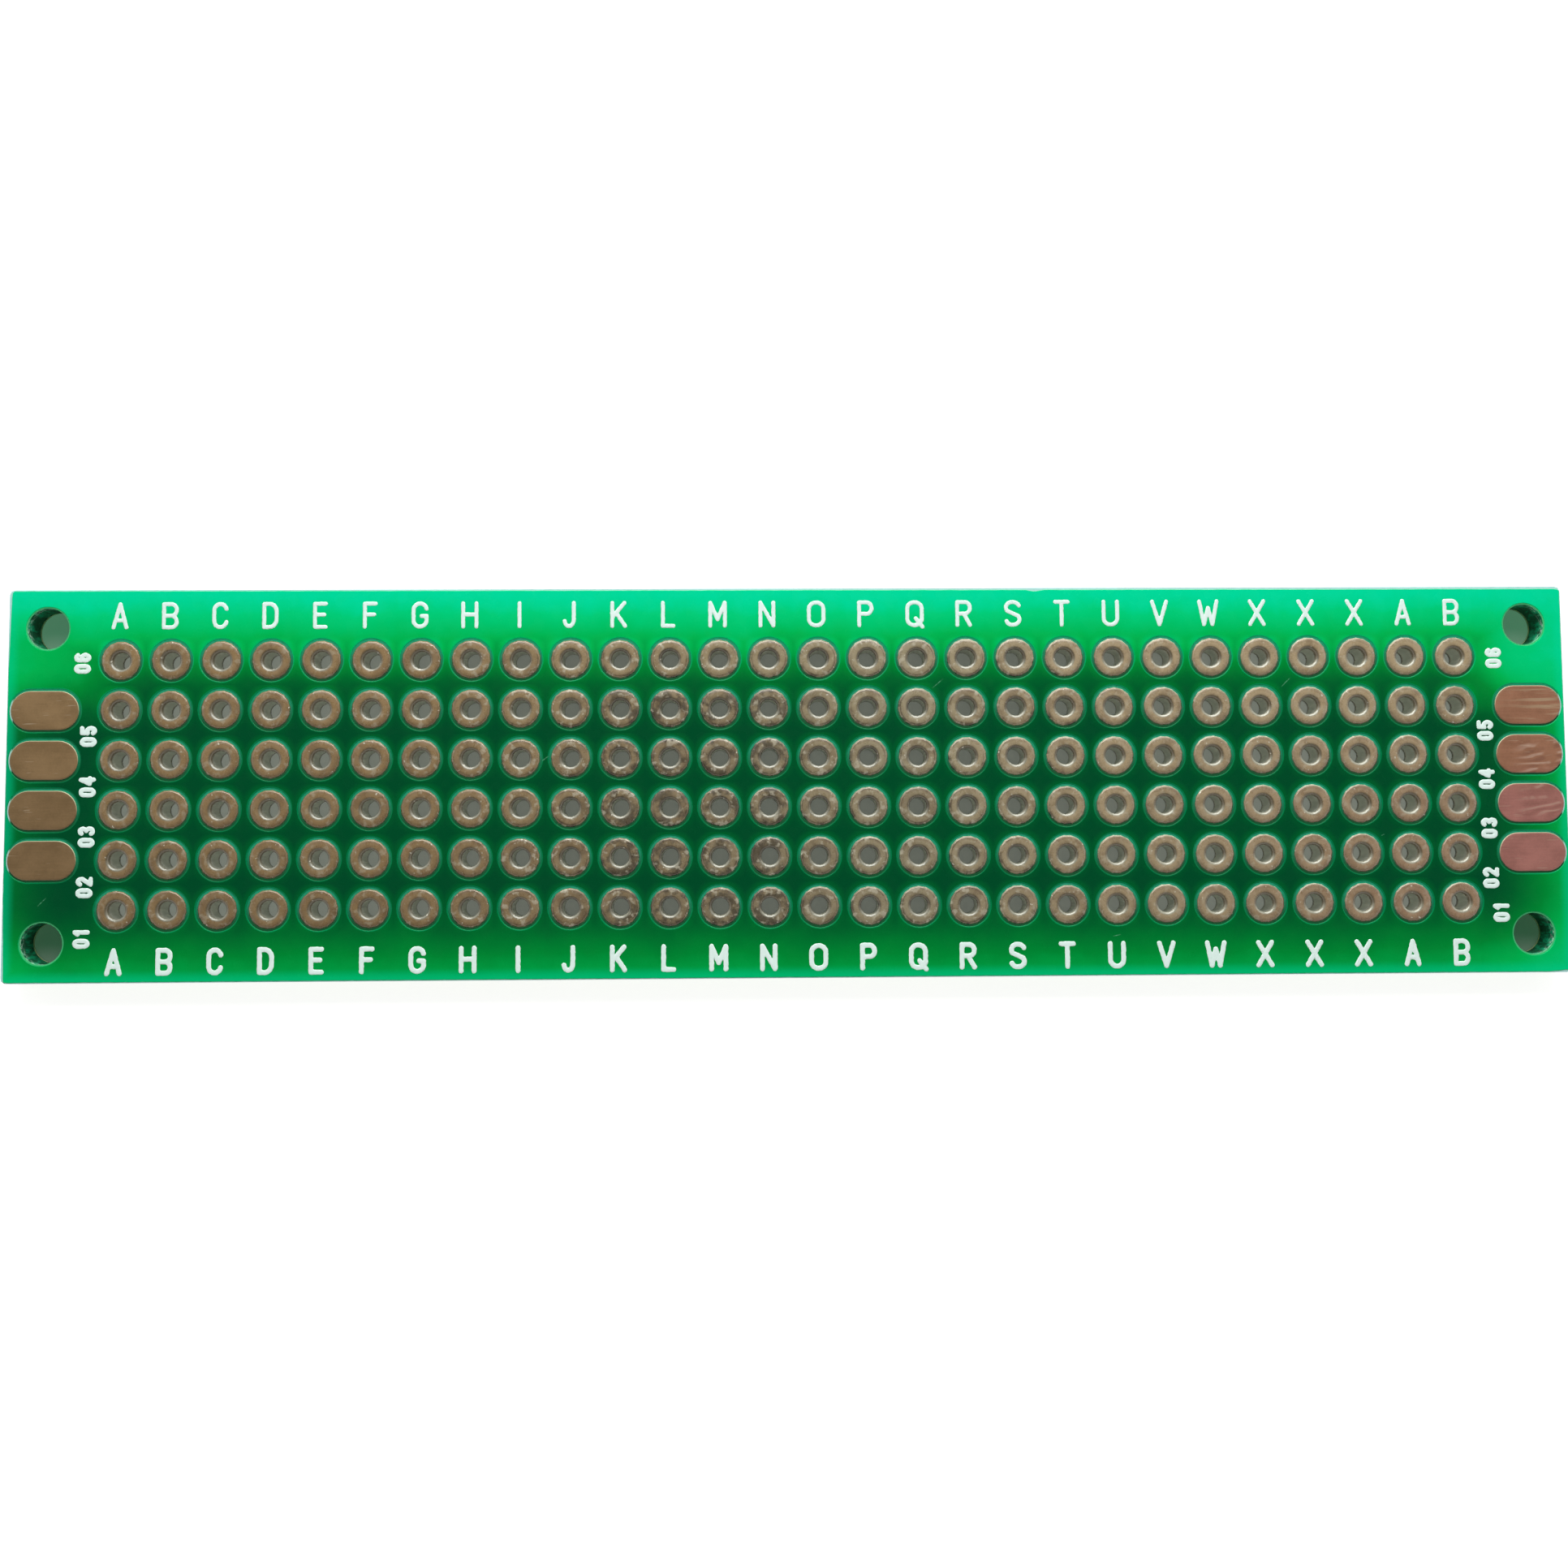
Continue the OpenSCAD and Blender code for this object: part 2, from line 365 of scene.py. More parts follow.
class Number:
    """A value that a node tree works out. Arithmetic with it adds the nodes that do the sum."""

    def __init__(self, nodes, socket):
        self.nodes, self.socket = nodes, socket

    def __add__(self, other):
        return self.nodes.math("ADD", self, other)

    def __sub__(self, other):
        return self.nodes.math("SUBTRACT", self, other)

    def __rsub__(self, other):
        return self.nodes.math("SUBTRACT", other, self)

    def __mul__(self, other):
        return self.nodes.math("MULTIPLY", self, other)

    def __abs__(self):
        return self.nodes.math("ABSOLUTE", self)

    __radd__ = __add__
    __rmul__ = __mul__

    def ramp(self, start, end, low=0.0, high=1.0, kind="SMOOTHSTEP"):
        """Goes from low to high as this value goes from start to end."""
        node = self.nodes.add("ShaderNodeMapRange", interpolation_type=kind)
        for socket, given in zip(node.inputs, (self, start, end, low, high)):
            self.nodes.put(socket, given)
        return Number(self.nodes, node.outputs[0])

    def tints(self, *stops):
        """A colour for each value, from (position, colour) stops."""
        node = self.nodes.add("ShaderNodeValToRGB", {"Fac": self})
        elements = node.color_ramp.elements
        while len(elements) < len(stops):
            elements.new(1.0)
        for element, (position, value) in zip(elements, stops):
            element.position = position
            element.color = (*value, 1.0)
        return node.outputs["Color"]


class Nodes:
    """Adds nodes to a tree, links what comes from a node and sets what is a plain value."""

    def __init__(self, tree):
        self.tree = tree

    def add(self, kind, inputs=(), **settings):
        node = self.tree.nodes.new(kind)
        for name, value in settings.items():
            setattr(node, name, value)
        for key, value in dict(inputs).items():
            self.put(node.inputs[key], value)
        return node

    def put(self, socket, value):
        if isinstance(value, Number):
            value = value.socket
        if isinstance(value, bpy.types.NodeSocket):
            self.tree.links.new(value, socket)
        elif value is not None:
            socket.default_value = value

    def math(self, operation, a, b=None, clamp=False):
        node = self.add("ShaderNodeMath", operation=operation, use_clamp=clamp)
        for socket, value in zip(node.inputs, (a, b)):
            self.put(socket, value)
        return Number(self, node.outputs[0])

    def greatest(self, a, b):
        return self.math("MAXIMUM", a, b)

    def reach(self, a, b):
        """Length of the way that goes a along one axis and b along the other."""
        return self.math("SQRT", a * a + b * b)

    def mix(self, factor, a, b, blend="MIX"):
        """Mixes two colours."""
        node = self.add("ShaderNodeMix", {0: factor}, data_type="RGBA", blend_type=blend)
        for socket, value in ((node.inputs[6], a), (node.inputs[7], b)):
            self.put(socket, value if isinstance(value, bpy.types.NodeSocket) else (*value, 1.0))
        return node.outputs[2]

    def shade(self, tint, light):
        """A colour made lighter or darker by a factor."""
        return self.mix(1.0, tint, self.vector(X=light, Y=light, Z=light), "MULTIPLY")

    def place(self, x=1.0, y=1.0, z=1.0, turn=0.0):
        """Object coordinates in millimetres, stretched along each axis and turned about Z."""
        coordinates = self.add("ShaderNodeTexCoord").outputs["Object"]
        scale = (x / MM, y / MM, z / MM)
        inputs = {"Vector": coordinates, "Rotation": (0.0, 0.0, turn), "Scale": scale}
        return self.add("ShaderNodeMapping", inputs).outputs["Vector"]

    def axes(self, vector):
        parts = self.add("ShaderNodeSeparateXYZ", {"Vector": vector}).outputs
        return [Number(self, part) for part in parts]

    def vector(self, **parts):
        return self.add("ShaderNodeCombineXYZ", parts).outputs[0]

    def attribute(self, name):
        return Number(self, self.add("ShaderNodeAttribute", attribute_name=name).outputs["Fac"])

    def noise(self, vector, scale, detail=2.0, roughness=0.5):
        inputs = {"Vector": vector, "Scale": scale, "Detail": detail, "Roughness": roughness}
        return Number(self, self.add("ShaderNodeTexNoise", inputs).outputs["Fac"])


class Finish(Nodes):
    """A material with one shader. Constants are set on the shader's own sockets."""

    def __init__(self, name, **constants):
        self.material = bpy.data.materials.new(name)
        self.material.use_nodes = True
        super().__init__(self.material.node_tree)
        self.shader = next(n for n in self.tree.nodes if n.type == "BSDF_PRINCIPLED")
        for key, value in constants.items():
            self.shader.inputs[key.replace("_", " ")].default_value = value
        self.spot = self.place()

    def coat(self, base, roughness, relief, strength, depth, **others):
        """Links the colour, the roughness and the relief, whose depth is in millimetres."""
        inputs = {"Height": relief, "Strength": strength, "Distance": depth * MM}
        normal = self.add("ShaderNodeBump", inputs).outputs["Normal"]
        linked = {"Base Color": base, "Roughness": roughness, "Normal": normal, **others}
        for key, value in linked.items():
            self.put(self.shader.inputs[key], value)
        return self.material


def edge_distance(nodes, x, y):
    """Distance to the board's outline, in millimetres, from a point in millimetres."""
    return nodes.math("MINIMUM", CAD_HIGH.x / MM - abs(x), CAD_HIGH.y / MM - abs(y))


def scratches(nodes, vector, width, lines):
    """1 on a few fine scratches, each from one point to another in millimetres."""
    total = 0.0
    for (x0, y0), (x1, y1) in lines:
        run = math.hypot(x1 - x0, y1 - y0)
        turn = math.atan2(y1 - y0, x1 - x0)
        inputs = {"Vector": vector, "Location": (x0, y0, 0.0), "Rotation": (0.0, 0.0, turn)}
        placed = nodes.add("ShaderNodeMapping", inputs, vector_type="TEXTURE").outputs["Vector"]
        along, across, _ = nodes.axes(placed)
        inside = run / 2 - abs(along - run / 2)
        line = abs(across).ramp(width, 0.0) * inside.ramp(0.0, run / 3)
        total = nodes.greatest(line, total)
    return total


def land_offsets(x, y):
    """Offset of a point from the middle of its own grid cell, along X and Y, in millimetres."""
    step = PITCH / MM

    def offset(value, count):
        place = value * (1 / step) + 0.5 * (count % 2)
        return (value.nodes.math("FRACT", place) - 0.5) * step

    return offset(x, COLUMNS), offset(y, ROWS)


# ---------------------------------------------------------------------------------------------
# Finishes. Places on the board are in millimetres.
# ---------------------------------------------------------------------------------------------

HALF_GRID_X = COLUMNS * PITCH / MM / 2
HALF_GRID_Y = ROWS * PITCH / MM / 2
TOP = CAD_HIGH.z / MM
MIDDLE = TOP / 2

SCRATCH_WIDTH = 0.035
SCRATCHES = (
    ((7.1, 4.75), (7.75, 5.3)),
    ((6.75, 0.35), (7.0, 1.05)),
    ((25.2, 4.75), (25.75, 5.3)),
    ((-38.25, -6.15), (-37.75, -5.65)),
    ((30.2, -2.95), (30.4, -2.85)),
    ((-12.9, 1.1), (-12.5, 1.4)),
    ((16.2, -8.0), (16.7, -7.9)),
)


def mask_finish():
    """Green solder mask: painted shade over the middle, and a painted glow where the sheet's edges
    let light in.
    """
    paint = colours()
    nodes = Finish("solder_mask_green", Specular_IOR_Level=0.12)
    spot = nodes.spot
    x, y, _ = nodes.axes(spot)
    strayed = y + (nodes.noise(spot, 0.35) - 0.5) * 1.1
    along = abs(x)

    # Painted glow of the sheet: widest at the +Y side and its corners, then the -Y side, then the
    # ends. Where it fades, the middle is painted shade
    corner = along.ramp(32.0, 37.6) * strayed.ramp(2.2, 6.3) * x.ramp(-1.0, 1.0, 0.66, 0.86)
    back = nodes.greatest(strayed.ramp(3.4, 9.9), corner)
    front = strayed.ramp(-5.6, -10.3, 0.0, 0.6) * x.ramp(32.0, 37.0, 1.0, 1.16)
    across = nodes.greatest(back, front)
    ends = nodes.greatest(x.ramp(35.2, 41.0, 0.0, 0.7), x.ramp(-37.0, -40.2, 0.0, 0.26))
    dark = (1.0 - across) * (1.0 - ends)

    # Painted faint light round each land, stronger on its +Y side
    aside, above = land_offsets(x, y)
    on_grid = along.ramp(HALF_GRID_X + 0.4, HALF_GRID_X - 0.4)
    on_grid = on_grid * abs(y).ramp(HALF_GRID_Y, HALF_GRID_Y - 0.4)
    upper = above.ramp(-1.1, 1.1)
    halo = on_grid * nodes.reach(aside, above).ramp(1.55, 1.15) * (upper * 0.08 + 0.05)
    grain = nodes.noise(spot, 2.2, 3.0)
    tone = nodes.math("ADD", 1.0 - dark, halo + (grain - 0.5) * 0.05, clamp=True)
    base = tone.tints(
        (0.0, paint.mask_painted_shade),
        (0.17, paint.mask_painted_dim),
        (0.45, paint.mask_painted_lit),
        (0.69, paint.mask_painted_glow),
        (0.91, paint.mask_painted_margin_glow),
        (1.0, paint.mask_painted_edge_glow),
    )
    # Painted glow along the very edge of the sheet
    brim = edge_distance(nodes, x, y).ramp(0.7, 0.1, 0.0, 0.4)
    base = nodes.mix(brim, base, paint.mask_painted_edge_glow)

    # Rolled edge of the film, painted lighter as a highlight: lit on a land's +Y side, shaded on
    # its -Y side, and brighter with the sheet's painted glow
    ring = nodes.mix(upper, paint.ring_shade, paint.ring_lit)
    ring = nodes.mix(tone, ring, paint.mask_painted_margin_glow)
    base = nodes.mix(nodes.attribute("lip").ramp(0.2, 1.0, 0.0, 0.85), base, ring)

    marks = scratches(nodes, spot, SCRATCH_WIDTH, SCRATCHES)
    faint = marks * nodes.noise(spot, 9.0).ramp(0.35, 0.6, 0.1, 0.55)
    base = nodes.mix(faint, base, paint.scratch)
    rough = nodes.noise(spot, 1.3, 4.0).ramp(0.3, 0.7, 0.2, 0.32) + marks * 0.2
    weave = nodes.noise(nodes.place(y=7.0), 1.1) + nodes.noise(nodes.place(x=7.0), 1.1)
    return nodes.coat(base, rough, weave + grain * 1.2, 0.25, 0.006)


def laminate_finish():
    """Glass-epoxy sheet: pale on its broken edge, olive where sawn and dark where drilled."""
    paint = colours()
    nodes = Finish("glass_epoxy", Specular_IOR_Level=0.3)
    x, y, z = nodes.axes(nodes.spot)
    normal = nodes.add("ShaderNodeNewGeometry").outputs["Normal"]
    face = abs(nodes.axes(normal)[2]).ramp(0.15, 0.4)
    outer = edge_distance(nodes, x, y).ramp(0.35, 0.25)
    flecks = nodes.noise(nodes.place(2.5, 2.5, 7.0), 1.6, 5.0, 0.7)

    # Sawn side, and the walls of the mounting holes with frayed fibres near the top
    streaks = nodes.noise(nodes.place(z=9.0), 1.0, 4.0, 0.6)
    side = nodes.mix(streaks.ramp(0.35, 0.7), paint.side, paint.side_lit)
    blotches = nodes.noise(nodes.place(1.5, 1.5, 0.5), 2.2, 4.0, 0.7).ramp(0.44, 0.6)
    drilled = nodes.mix(blotches, paint.drilled, paint.drilled_lit)
    frayed = flecks.ramp(0.5, 0.6) * z.ramp(TOP - 0.6, TOP - 0.1) * 0.8
    drilled = nodes.mix(frayed, drilled, paint.fibre)
    # The lower edge of the wall is painted pale as light, so that it shows in the hole's shade
    drilled = nodes.mix(z.ramp(0.24, 0.14), drilled, paint.foot)
    wall = nodes.mix(outer, drilled, side)

    # Broken outer edge, rings round the lands and rings round the mounting holes
    pale = nodes.mix(flecks.ramp(0.3, 0.7, 0.0, 0.35), paint.arris, paint.arris_dim)
    # The ring round a land is painted lit on its +Y side and shaded on its -Y side
    above = land_offsets(x, y)[1]
    gap = nodes.mix(above.ramp(-0.9, 1.0), paint.gap_shade, paint.gap_lit)
    gap = nodes.mix(flecks.ramp(0.45, 0.7, 0.0, 0.3), gap, paint.mask_painted_dim)
    by_hole = abs(x).ramp(35.5, 36.5) * abs(y).ramp(6.2, 6.6)
    flat = nodes.mix(outer, nodes.mix(by_hole, gap, paint.mouth), pale)
    base = nodes.mix(face, wall, flat)
    return nodes.coat(base, flecks.ramp(0.2, 0.8, 0.45, 0.75), flecks, 0.5, 0.02)


def land_finish():
    """Copper of the plated holes under a thin brown coat, each land a little different."""
    paint = colours()
    nodes = Finish("coated_copper", IOR=1.9)
    spot = nodes.spot
    x, y, z = nodes.axes(spot)
    aside, above = land_offsets(x, y)
    reach = nodes.reach(aside, above)
    stain = nodes.noise(spot, 1.7, 4.0, 0.6)

    # The coat goes from brown at the -X end to pink at the +X end, partly its own tone and partly
    # painted reflection
    warm = x.ramp(CAD_LOW.x / MM, CAD_HIGH.x / MM, kind="LINEAR").tints(
        (0.0, paint.copper_left),
        (0.25, paint.copper_left),
        (0.57, paint.copper_middle),
        (0.7, paint.copper_right),
    )
    dull = (stain + nodes.attribute("own_tone") * 0.16).ramp(0.5, 0.85, 0.0, 0.5)
    base = nodes.mix(dull, warm, paint.copper_dull)
    # Painted light: the lands are lighter towards the +Y side, where the light comes from, and
    # darker towards the -Y side
    base = nodes.shade(base, y.ramp(-HALF_GRID_Y, HALF_GRID_Y, 0.9, 1.11, "LINEAR"))
    ruddy = x.ramp(18.0, 34.0, 0.0, 0.5) * y.ramp(5.0, -4.0)
    base = nodes.mix(ruddy, base, paint.copper_ruddy)
    # Painted shade: a darker band round the outer slope of each land, on its +Y side
    shoulder = abs(reach - 0.85).ramp(0.12, 0.03) * above.ramp(0.3, 0.8, 0.0, 0.3)
    base = nodes.mix(shoulder, base, paint.copper_dull)

    # Soot round x = -5, and a broken line near the rims of the worn lands in the middle
    sooty = abs(x + 5.0).ramp(7.5, 3.8) * y.ramp(5.6, 4.4)
    # The lands in the middle are the most worn, and their painted shade also leans towards -X and
    # covers the +Y side of their knees
    worn_and_shaded = abs(x + 2.0).ramp(20.0, 9.0)
    soot = nodes.noise(spot, 1.5, 4.0, 0.65).ramp(0.42, 0.6, 0.12, 0.75)
    base = nodes.mix(soot * sooty, base, paint.soot)
    broken = nodes.noise(spot, 1.2).ramp(0.42, 0.55, 0.0, 0.5)
    contour = abs(reach - 0.87).ramp(0.05, 0.01) * (broken * worn_and_shaded)
    base = nodes.mix(contour, base, paint.contour)

    # Grime and painted shade at the rims: darkest on each land's -Y side, away from the light, and
    # on the -X side of the lands in the middle, in patches that are more even towards the ends
    lean = aside * worn_and_shaded * 0.6 + above
    rim = reach.ramp(0.72, 1.0) * lean.ramp(1.0, -0.8, 0.2, 1.0)
    patches = nodes.noise(spot, 1.9, 4.0, 0.65).ramp(0.44, 0.62, 0.12, 1.0)
    even = nodes.greatest(x.ramp(-12.0, -18.0), x.ramp(13.0, 19.0)) * 0.8
    patches = patches * (1.0 - even) + even * 0.45
    base = nodes.mix(rim * patches, base, paint.shade_and_grime)
    # Painted highlight along the rim of each land on its +Y side, which faces the light, fainter
    # towards -X
    crest_highlight = reach.ramp(0.93, 0.98) * above.ramp(0.35, 0.85) * x.ramp(-20.0, 26.0, 0.1, 1.0)
    base = nodes.mix(crest_highlight, base, paint.crest_highlight)
    film = nodes.noise(spot, 2.6, 3.0, 0.6).ramp(0.54, 0.66, 0.0, 0.3) * (worn_and_shaded * 1.2 + 1.0)
    base = nodes.mix(film, base, paint.film)

    # Knee, where the land turns down into the bore. It is painted lit on its -Y side, which faces
    # the light, and shaded on its +Y side; the lit side is painted brighter towards +X, and on the
    # lands in the middle the shaded side gets patches of painted shade
    depth = abs(z - MIDDLE)
    bright = x.ramp(-25.0, -8.0, 0.76, 0.88) * x.ramp(6.0, 20.0, 1.0, 1.3)
    knee = nodes.mix(above.ramp(-0.38, 0.1), nodes.shade(paint.knee_lit, bright), paint.knee_shade)
    knee_shade_and_stains = nodes.noise(spot, 2.3, 3.0).ramp(0.4, 0.6) * worn_and_shaded * above.ramp(-0.45, 0.0, 0.0, 0.6)
    knee = nodes.mix(knee_shade_and_stains, knee, paint.shade_and_grime)
    base = nodes.mix(reach.ramp(0.63, 0.52) * depth.ramp(0.5, 0.6), base, knee)

    # Bare plating inside the bore
    inside = depth.ramp(MIDDLE - 0.15, MIDDLE - 0.4)
    streaks = nodes.noise(nodes.place(z=0.25), 3.5, 3.0).ramp(0.35, 0.65, 0.0, 0.3)
    base = nodes.mix(inside, base, nodes.mix(streaks, paint.barrel, paint.barrel_dim))
    # Small pale flecks painted on the lands as glints
    flecks = nodes.noise(spot, 5.0, 2.0, 0.55).ramp(0.69, 0.75) * 0.8
    base = nodes.mix(flecks, base, paint.copper_glint)
    rough = nodes.noise(spot, 4.0, 3.0).ramp(0.3, 0.7, 0.2, 0.36)
    grit = nodes.noise(spot, 6.0, 3.0, 0.6) + stain * 1.5
    return nodes.coat(
        base,
        nodes.greatest(rough, inside * 0.5),
        grit * inside.ramp(0.0, 1.0, 1.0, 0.25),
        0.18,
        0.008,
        Metallic=depth.ramp(MIDDLE - 0.12, MIDDLE - 0.35, 0.1, 0.85),
    )


def ripples(nodes, base, x, y):
    """Pale ripples of coat on the two middle pads, with painted shade in the hollows between them,
    and streaks on the back one.
    """
    paint = colours()
    warp = nodes.noise(nodes.place(0.35, 1.0), 1.0) * 16.0
    bands = nodes.math("SINE", x * -2.6 + y * 14.0 + warp)
    where = abs(y).ramp(2.1, 1.7) * x.ramp(37.0, 38.4)
    where = where * nodes.noise(nodes.spot, 0.9).ramp(0.4, 0.52) * y.ramp(-0.4, 0.4, 0.4, 0.62)
    base = nodes.mix(bands.ramp(0.2, 0.8) * where, base, paint.ripple_pale)
    # Painted shade in the hollows between the ripples
    base = nodes.mix(bands.ramp(-0.3, -0.8) * where * 0.7, base, paint.ripple_hollow_shade)
    streaks = nodes.noise(nodes.place(0.35, 5.0, turn=0.05), 0.9, 3.0).ramp(0.52, 0.66)
    back_pad = y.ramp(2.6, 3.0) * x.ramp(36.8, 39.2, 0.15, 0.75)
    return nodes.mix(streaks * back_pad, base, paint.pad_streak)


def pad_finish(name, front, back, wavy):
    """Copper of the end pads, from its colour at the -Y side to the one at the +Y side."""
    paint = colours()
    nodes = Finish(name, Metallic=0.1, IOR=1.6)
    x, y, _ = nodes.axes(nodes.spot)
    tint = nodes.mix(y.ramp(-0.9, 0.9) if wavy else y.ramp(-3.4, 4.0), front, back)
    brushed = nodes.noise(nodes.place(0.5, 9.0, turn=0.5), 1.2, 3.0)
    mottle = brushed * 0.2 + nodes.noise(nodes.spot, 0.6, 4.0, 0.6) * 0.6
    mottle = mottle + nodes.noise(nodes.spot, 11.0, 2.0, 0.6) * 0.2
    base = nodes.shade(tint, mottle.ramp(0.35, 0.65, 0.84, 1.12))
    if wavy:
        base = ripples(nodes, base, x, y)
    scuffs = nodes.noise(nodes.place(0.8, 14.0, turn=-0.9), 1.0).ramp(0.7, 0.74, 0.0, 0.35)
    base = nodes.mix(scuffs, base, paint.pad_scuff)
    # Painted highlight on the rounded edge where it faces +Y, and less where it faces the ends
    aside, facing, _ = nodes.axes(nodes.add("ShaderNodeNewGeometry").outputs["Normal"])
    turned = (abs(aside) * 0.6 + facing).ramp(0.25, 0.6, 0.0, 0.7)
    base = nodes.mix(turned, base, paint.pad_rim_highlight)
    return nodes.coat(base, mottle.ramp(0.3, 0.7, 0.34, 0.5), mottle, 0.25, 0.008)


def ink_finish():
    """White printed ink, a little thin in places."""
    paint = colours()
    nodes = Finish("legend_ink", Specular_IOR_Level=0.3)
    thin = nodes.noise(nodes.spot, 5.0, 3.0, 0.6).ramp(0.55, 0.8, 0.0, 0.3)
    base = nodes.mix(thin, paint.ink, paint.ink_thin)
    rough = nodes.noise(nodes.spot, 9.0).ramp(0.3, 0.7, 0.45, 0.65)
    return nodes.coat(base, rough, nodes.noise(nodes.spot, 12.0), 0.3, 0.008)


# ---------------------------------------------------------------------------------------------
# Meshes
# ---------------------------------------------------------------------------------------------


def new_object(name, vertices=(), faces=()):
    mesh = bpy.data.meshes.new(name)
    mesh.from_pydata([tuple(v) for v in vertices], [], [tuple(f) for f in faces])
    mesh.validate()
    made = bpy.data.objects.new(name, mesh)
    bpy.context.scene.collection.objects.link(made)
    return made


def make_smooth(piece, flat_at_end=0):
    """Shades a piece's faces smooth, but for so many of the last ones."""
    count = len(piece.data.polygons) - flat_at_end
    piece.data.polygons.foreach_set("use_smooth", [True] * count + [False] * flat_at_end)


def finish_piece(piece, slot, *nodes, material=None):
    """Gives a piece its finish, and hangs it on the board's one body."""
    if material is not None:
        piece.data.materials.clear()
        piece.data.materials.append(material)
    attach(piece, BODY)
    if nodes:
        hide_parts(*nodes)


class ShapeTree(Nodes):
    """A Geometry Nodes tree. Its named inputs are given as the socket type of each name."""

    def __init__(self, name, inputs):
        tree = bpy.data.node_groups.new(name, "GeometryNodeTree")
        super().__init__(tree)
        kinds = {"Geometry": "Geometry", **inputs}
        for label, kind in kinds.items():
            tree.interface.new_socket(label, in_out="INPUT", socket_type="NodeSocket" + kind)
        tree.interface.new_socket("Geometry", in_out="OUTPUT", socket_type="NodeSocketGeometry")
        outputs = self.add("NodeGroupInput").outputs
        self.given = {label: Number(self, outputs[label]) for label in inputs}

    def make(self, kind, inputs=(), **settings):
        """Adds a node and gives its first output."""
        return self.add(kind, inputs, **settings).outputs[0]

    def on_points(self, points, instance, **inputs):
        inputs = {"Points": points, "Instance": instance, **inputs}
        return self.make("GeometryNodeInstanceOnPoints", inputs)

    def realize(self, geometry):
        return self.make("GeometryNodeRealizeInstances", {"Geometry": geometry})

    def end(self, geometry):
        """Gives the shape its material and ends the tree."""
        inputs = {"Geometry": geometry, "Material": self.given["Material"]}
        self.put(
            self.add("NodeGroupOutput").inputs[0], self.make("GeometryNodeSetMaterial", inputs)
        )

    def mesh(self, name, values):
        """Runs the tree on a new object and keeps its result as the object's plain mesh."""
        made = new_object(name)
        modifier = made.modifiers.new("shape", "NODES")
        modifier.node_group = self.tree
        for item in self.tree.interface.items_tree:
            if item.in_out == "INPUT" and item.name in values:
                modifier[item.identifier] = values[item.name]
        evaluated = made.evaluated_get(bpy.context.evaluated_depsgraph_get())
        mesh = bpy.data.meshes.new_from_object(evaluated)
        made.modifiers.remove(modifier)
        empty, made.data = made.data, mesh
        bpy.data.meshes.remove(empty)
        mesh.name = name
        return made


SHEET_LENGTHS = (
    "Length",
    "Width",
    "Corner Radius",
    "Pitch",
    "Opening Radius",
    "Mounting X",
    "Mounting Y",
    "Mounting Radius",
    "Pad X",
    "Pad Span",
    "Pad Length",
    "Pad Width",
    "Pad Corner Radius",
    "Outline Step",
)
SHEET_COUNTS = ("Columns", "Rows", "Pad Rows", "Opening Facets", "Mounting Facets")
CORNER_STEPS, PAD_CORNER_STEPS = 6, 12


def perforated_sheet_tree():
    """A flat sheet with round corners and openings for plated holes, mounting holes and pads."""
    inputs = dict.fromkeys(SHEET_LENGTHS, "Float")
    inputs.update(dict.fromkeys(SHEET_COUNTS, "Int"))
    shape = ShapeTree("perforated sheet", {**inputs, "Material": "Material"})
    given = shape.given

    def rounded(width, height, radius, steps):
        sides = {"Width": width, "Height": height}
        box = shape.make("GeometryNodeCurvePrimitiveQuadrilateral", sides)
        bend = {"Curve": box, "Count": steps, "Radius": radius}
        return shape.make("GeometryNodeFilletCurve", bend, mode="POLY")

    def grid(size_x, size_y, columns, rows):
        inputs = {"Size X": size_x, "Size Y": size_y, "Vertices X": columns, "Vertices Y": rows}
        return shape.make("GeometryNodeMeshGrid", inputs)

    def circle(facets, radius):
        inputs = {"Resolution": facets, "Radius": radius}
        return shape.make("GeometryNodeCurvePrimitiveCircle", inputs)

    outline = rounded(given["Length"], given["Width"], given["Corner Radius"], CORNER_STEPS)
    inputs = {"Curve": outline, "Length": given["Outline Step"]}
    fine = shape.make("GeometryNodeResampleCurve", inputs, mode="LENGTH")
    columns, rows, pitch = given["Columns"], given["Rows"], given["Pitch"]
    holes = shape.on_points(
        grid((columns - 1.0) * pitch, (rows - 1.0) * pitch, columns, rows),
        circle(given["Opening Facets"], given["Opening Radius"]),
    )
    corners = shape.on_points(
        grid(given["Mounting X"] * 2.0, given["Mounting Y"] * 2.0, 2, 2),
        circle(given["Mounting Facets"], given["Mounting Radius"]),
    )
    pads = shape.on_points(
        grid(given["Pad X"] * 2.0, given["Pad Span"], 2, given["Pad Rows"]),
        rounded(
            given["Pad Length"], given["Pad Width"], given["Pad Corner Radius"], PAD_CORNER_STEPS
        ),
    )
    join = shape.add("GeometryNodeJoinGeometry")
    for curves in (fine, holes, corners, pads):
        shape.put(join.inputs[0], curves)
    shape.end(shape.make("GeometryNodeFillCurve", {"Curve": shape.realize(join.outputs[0])}))
    return shape


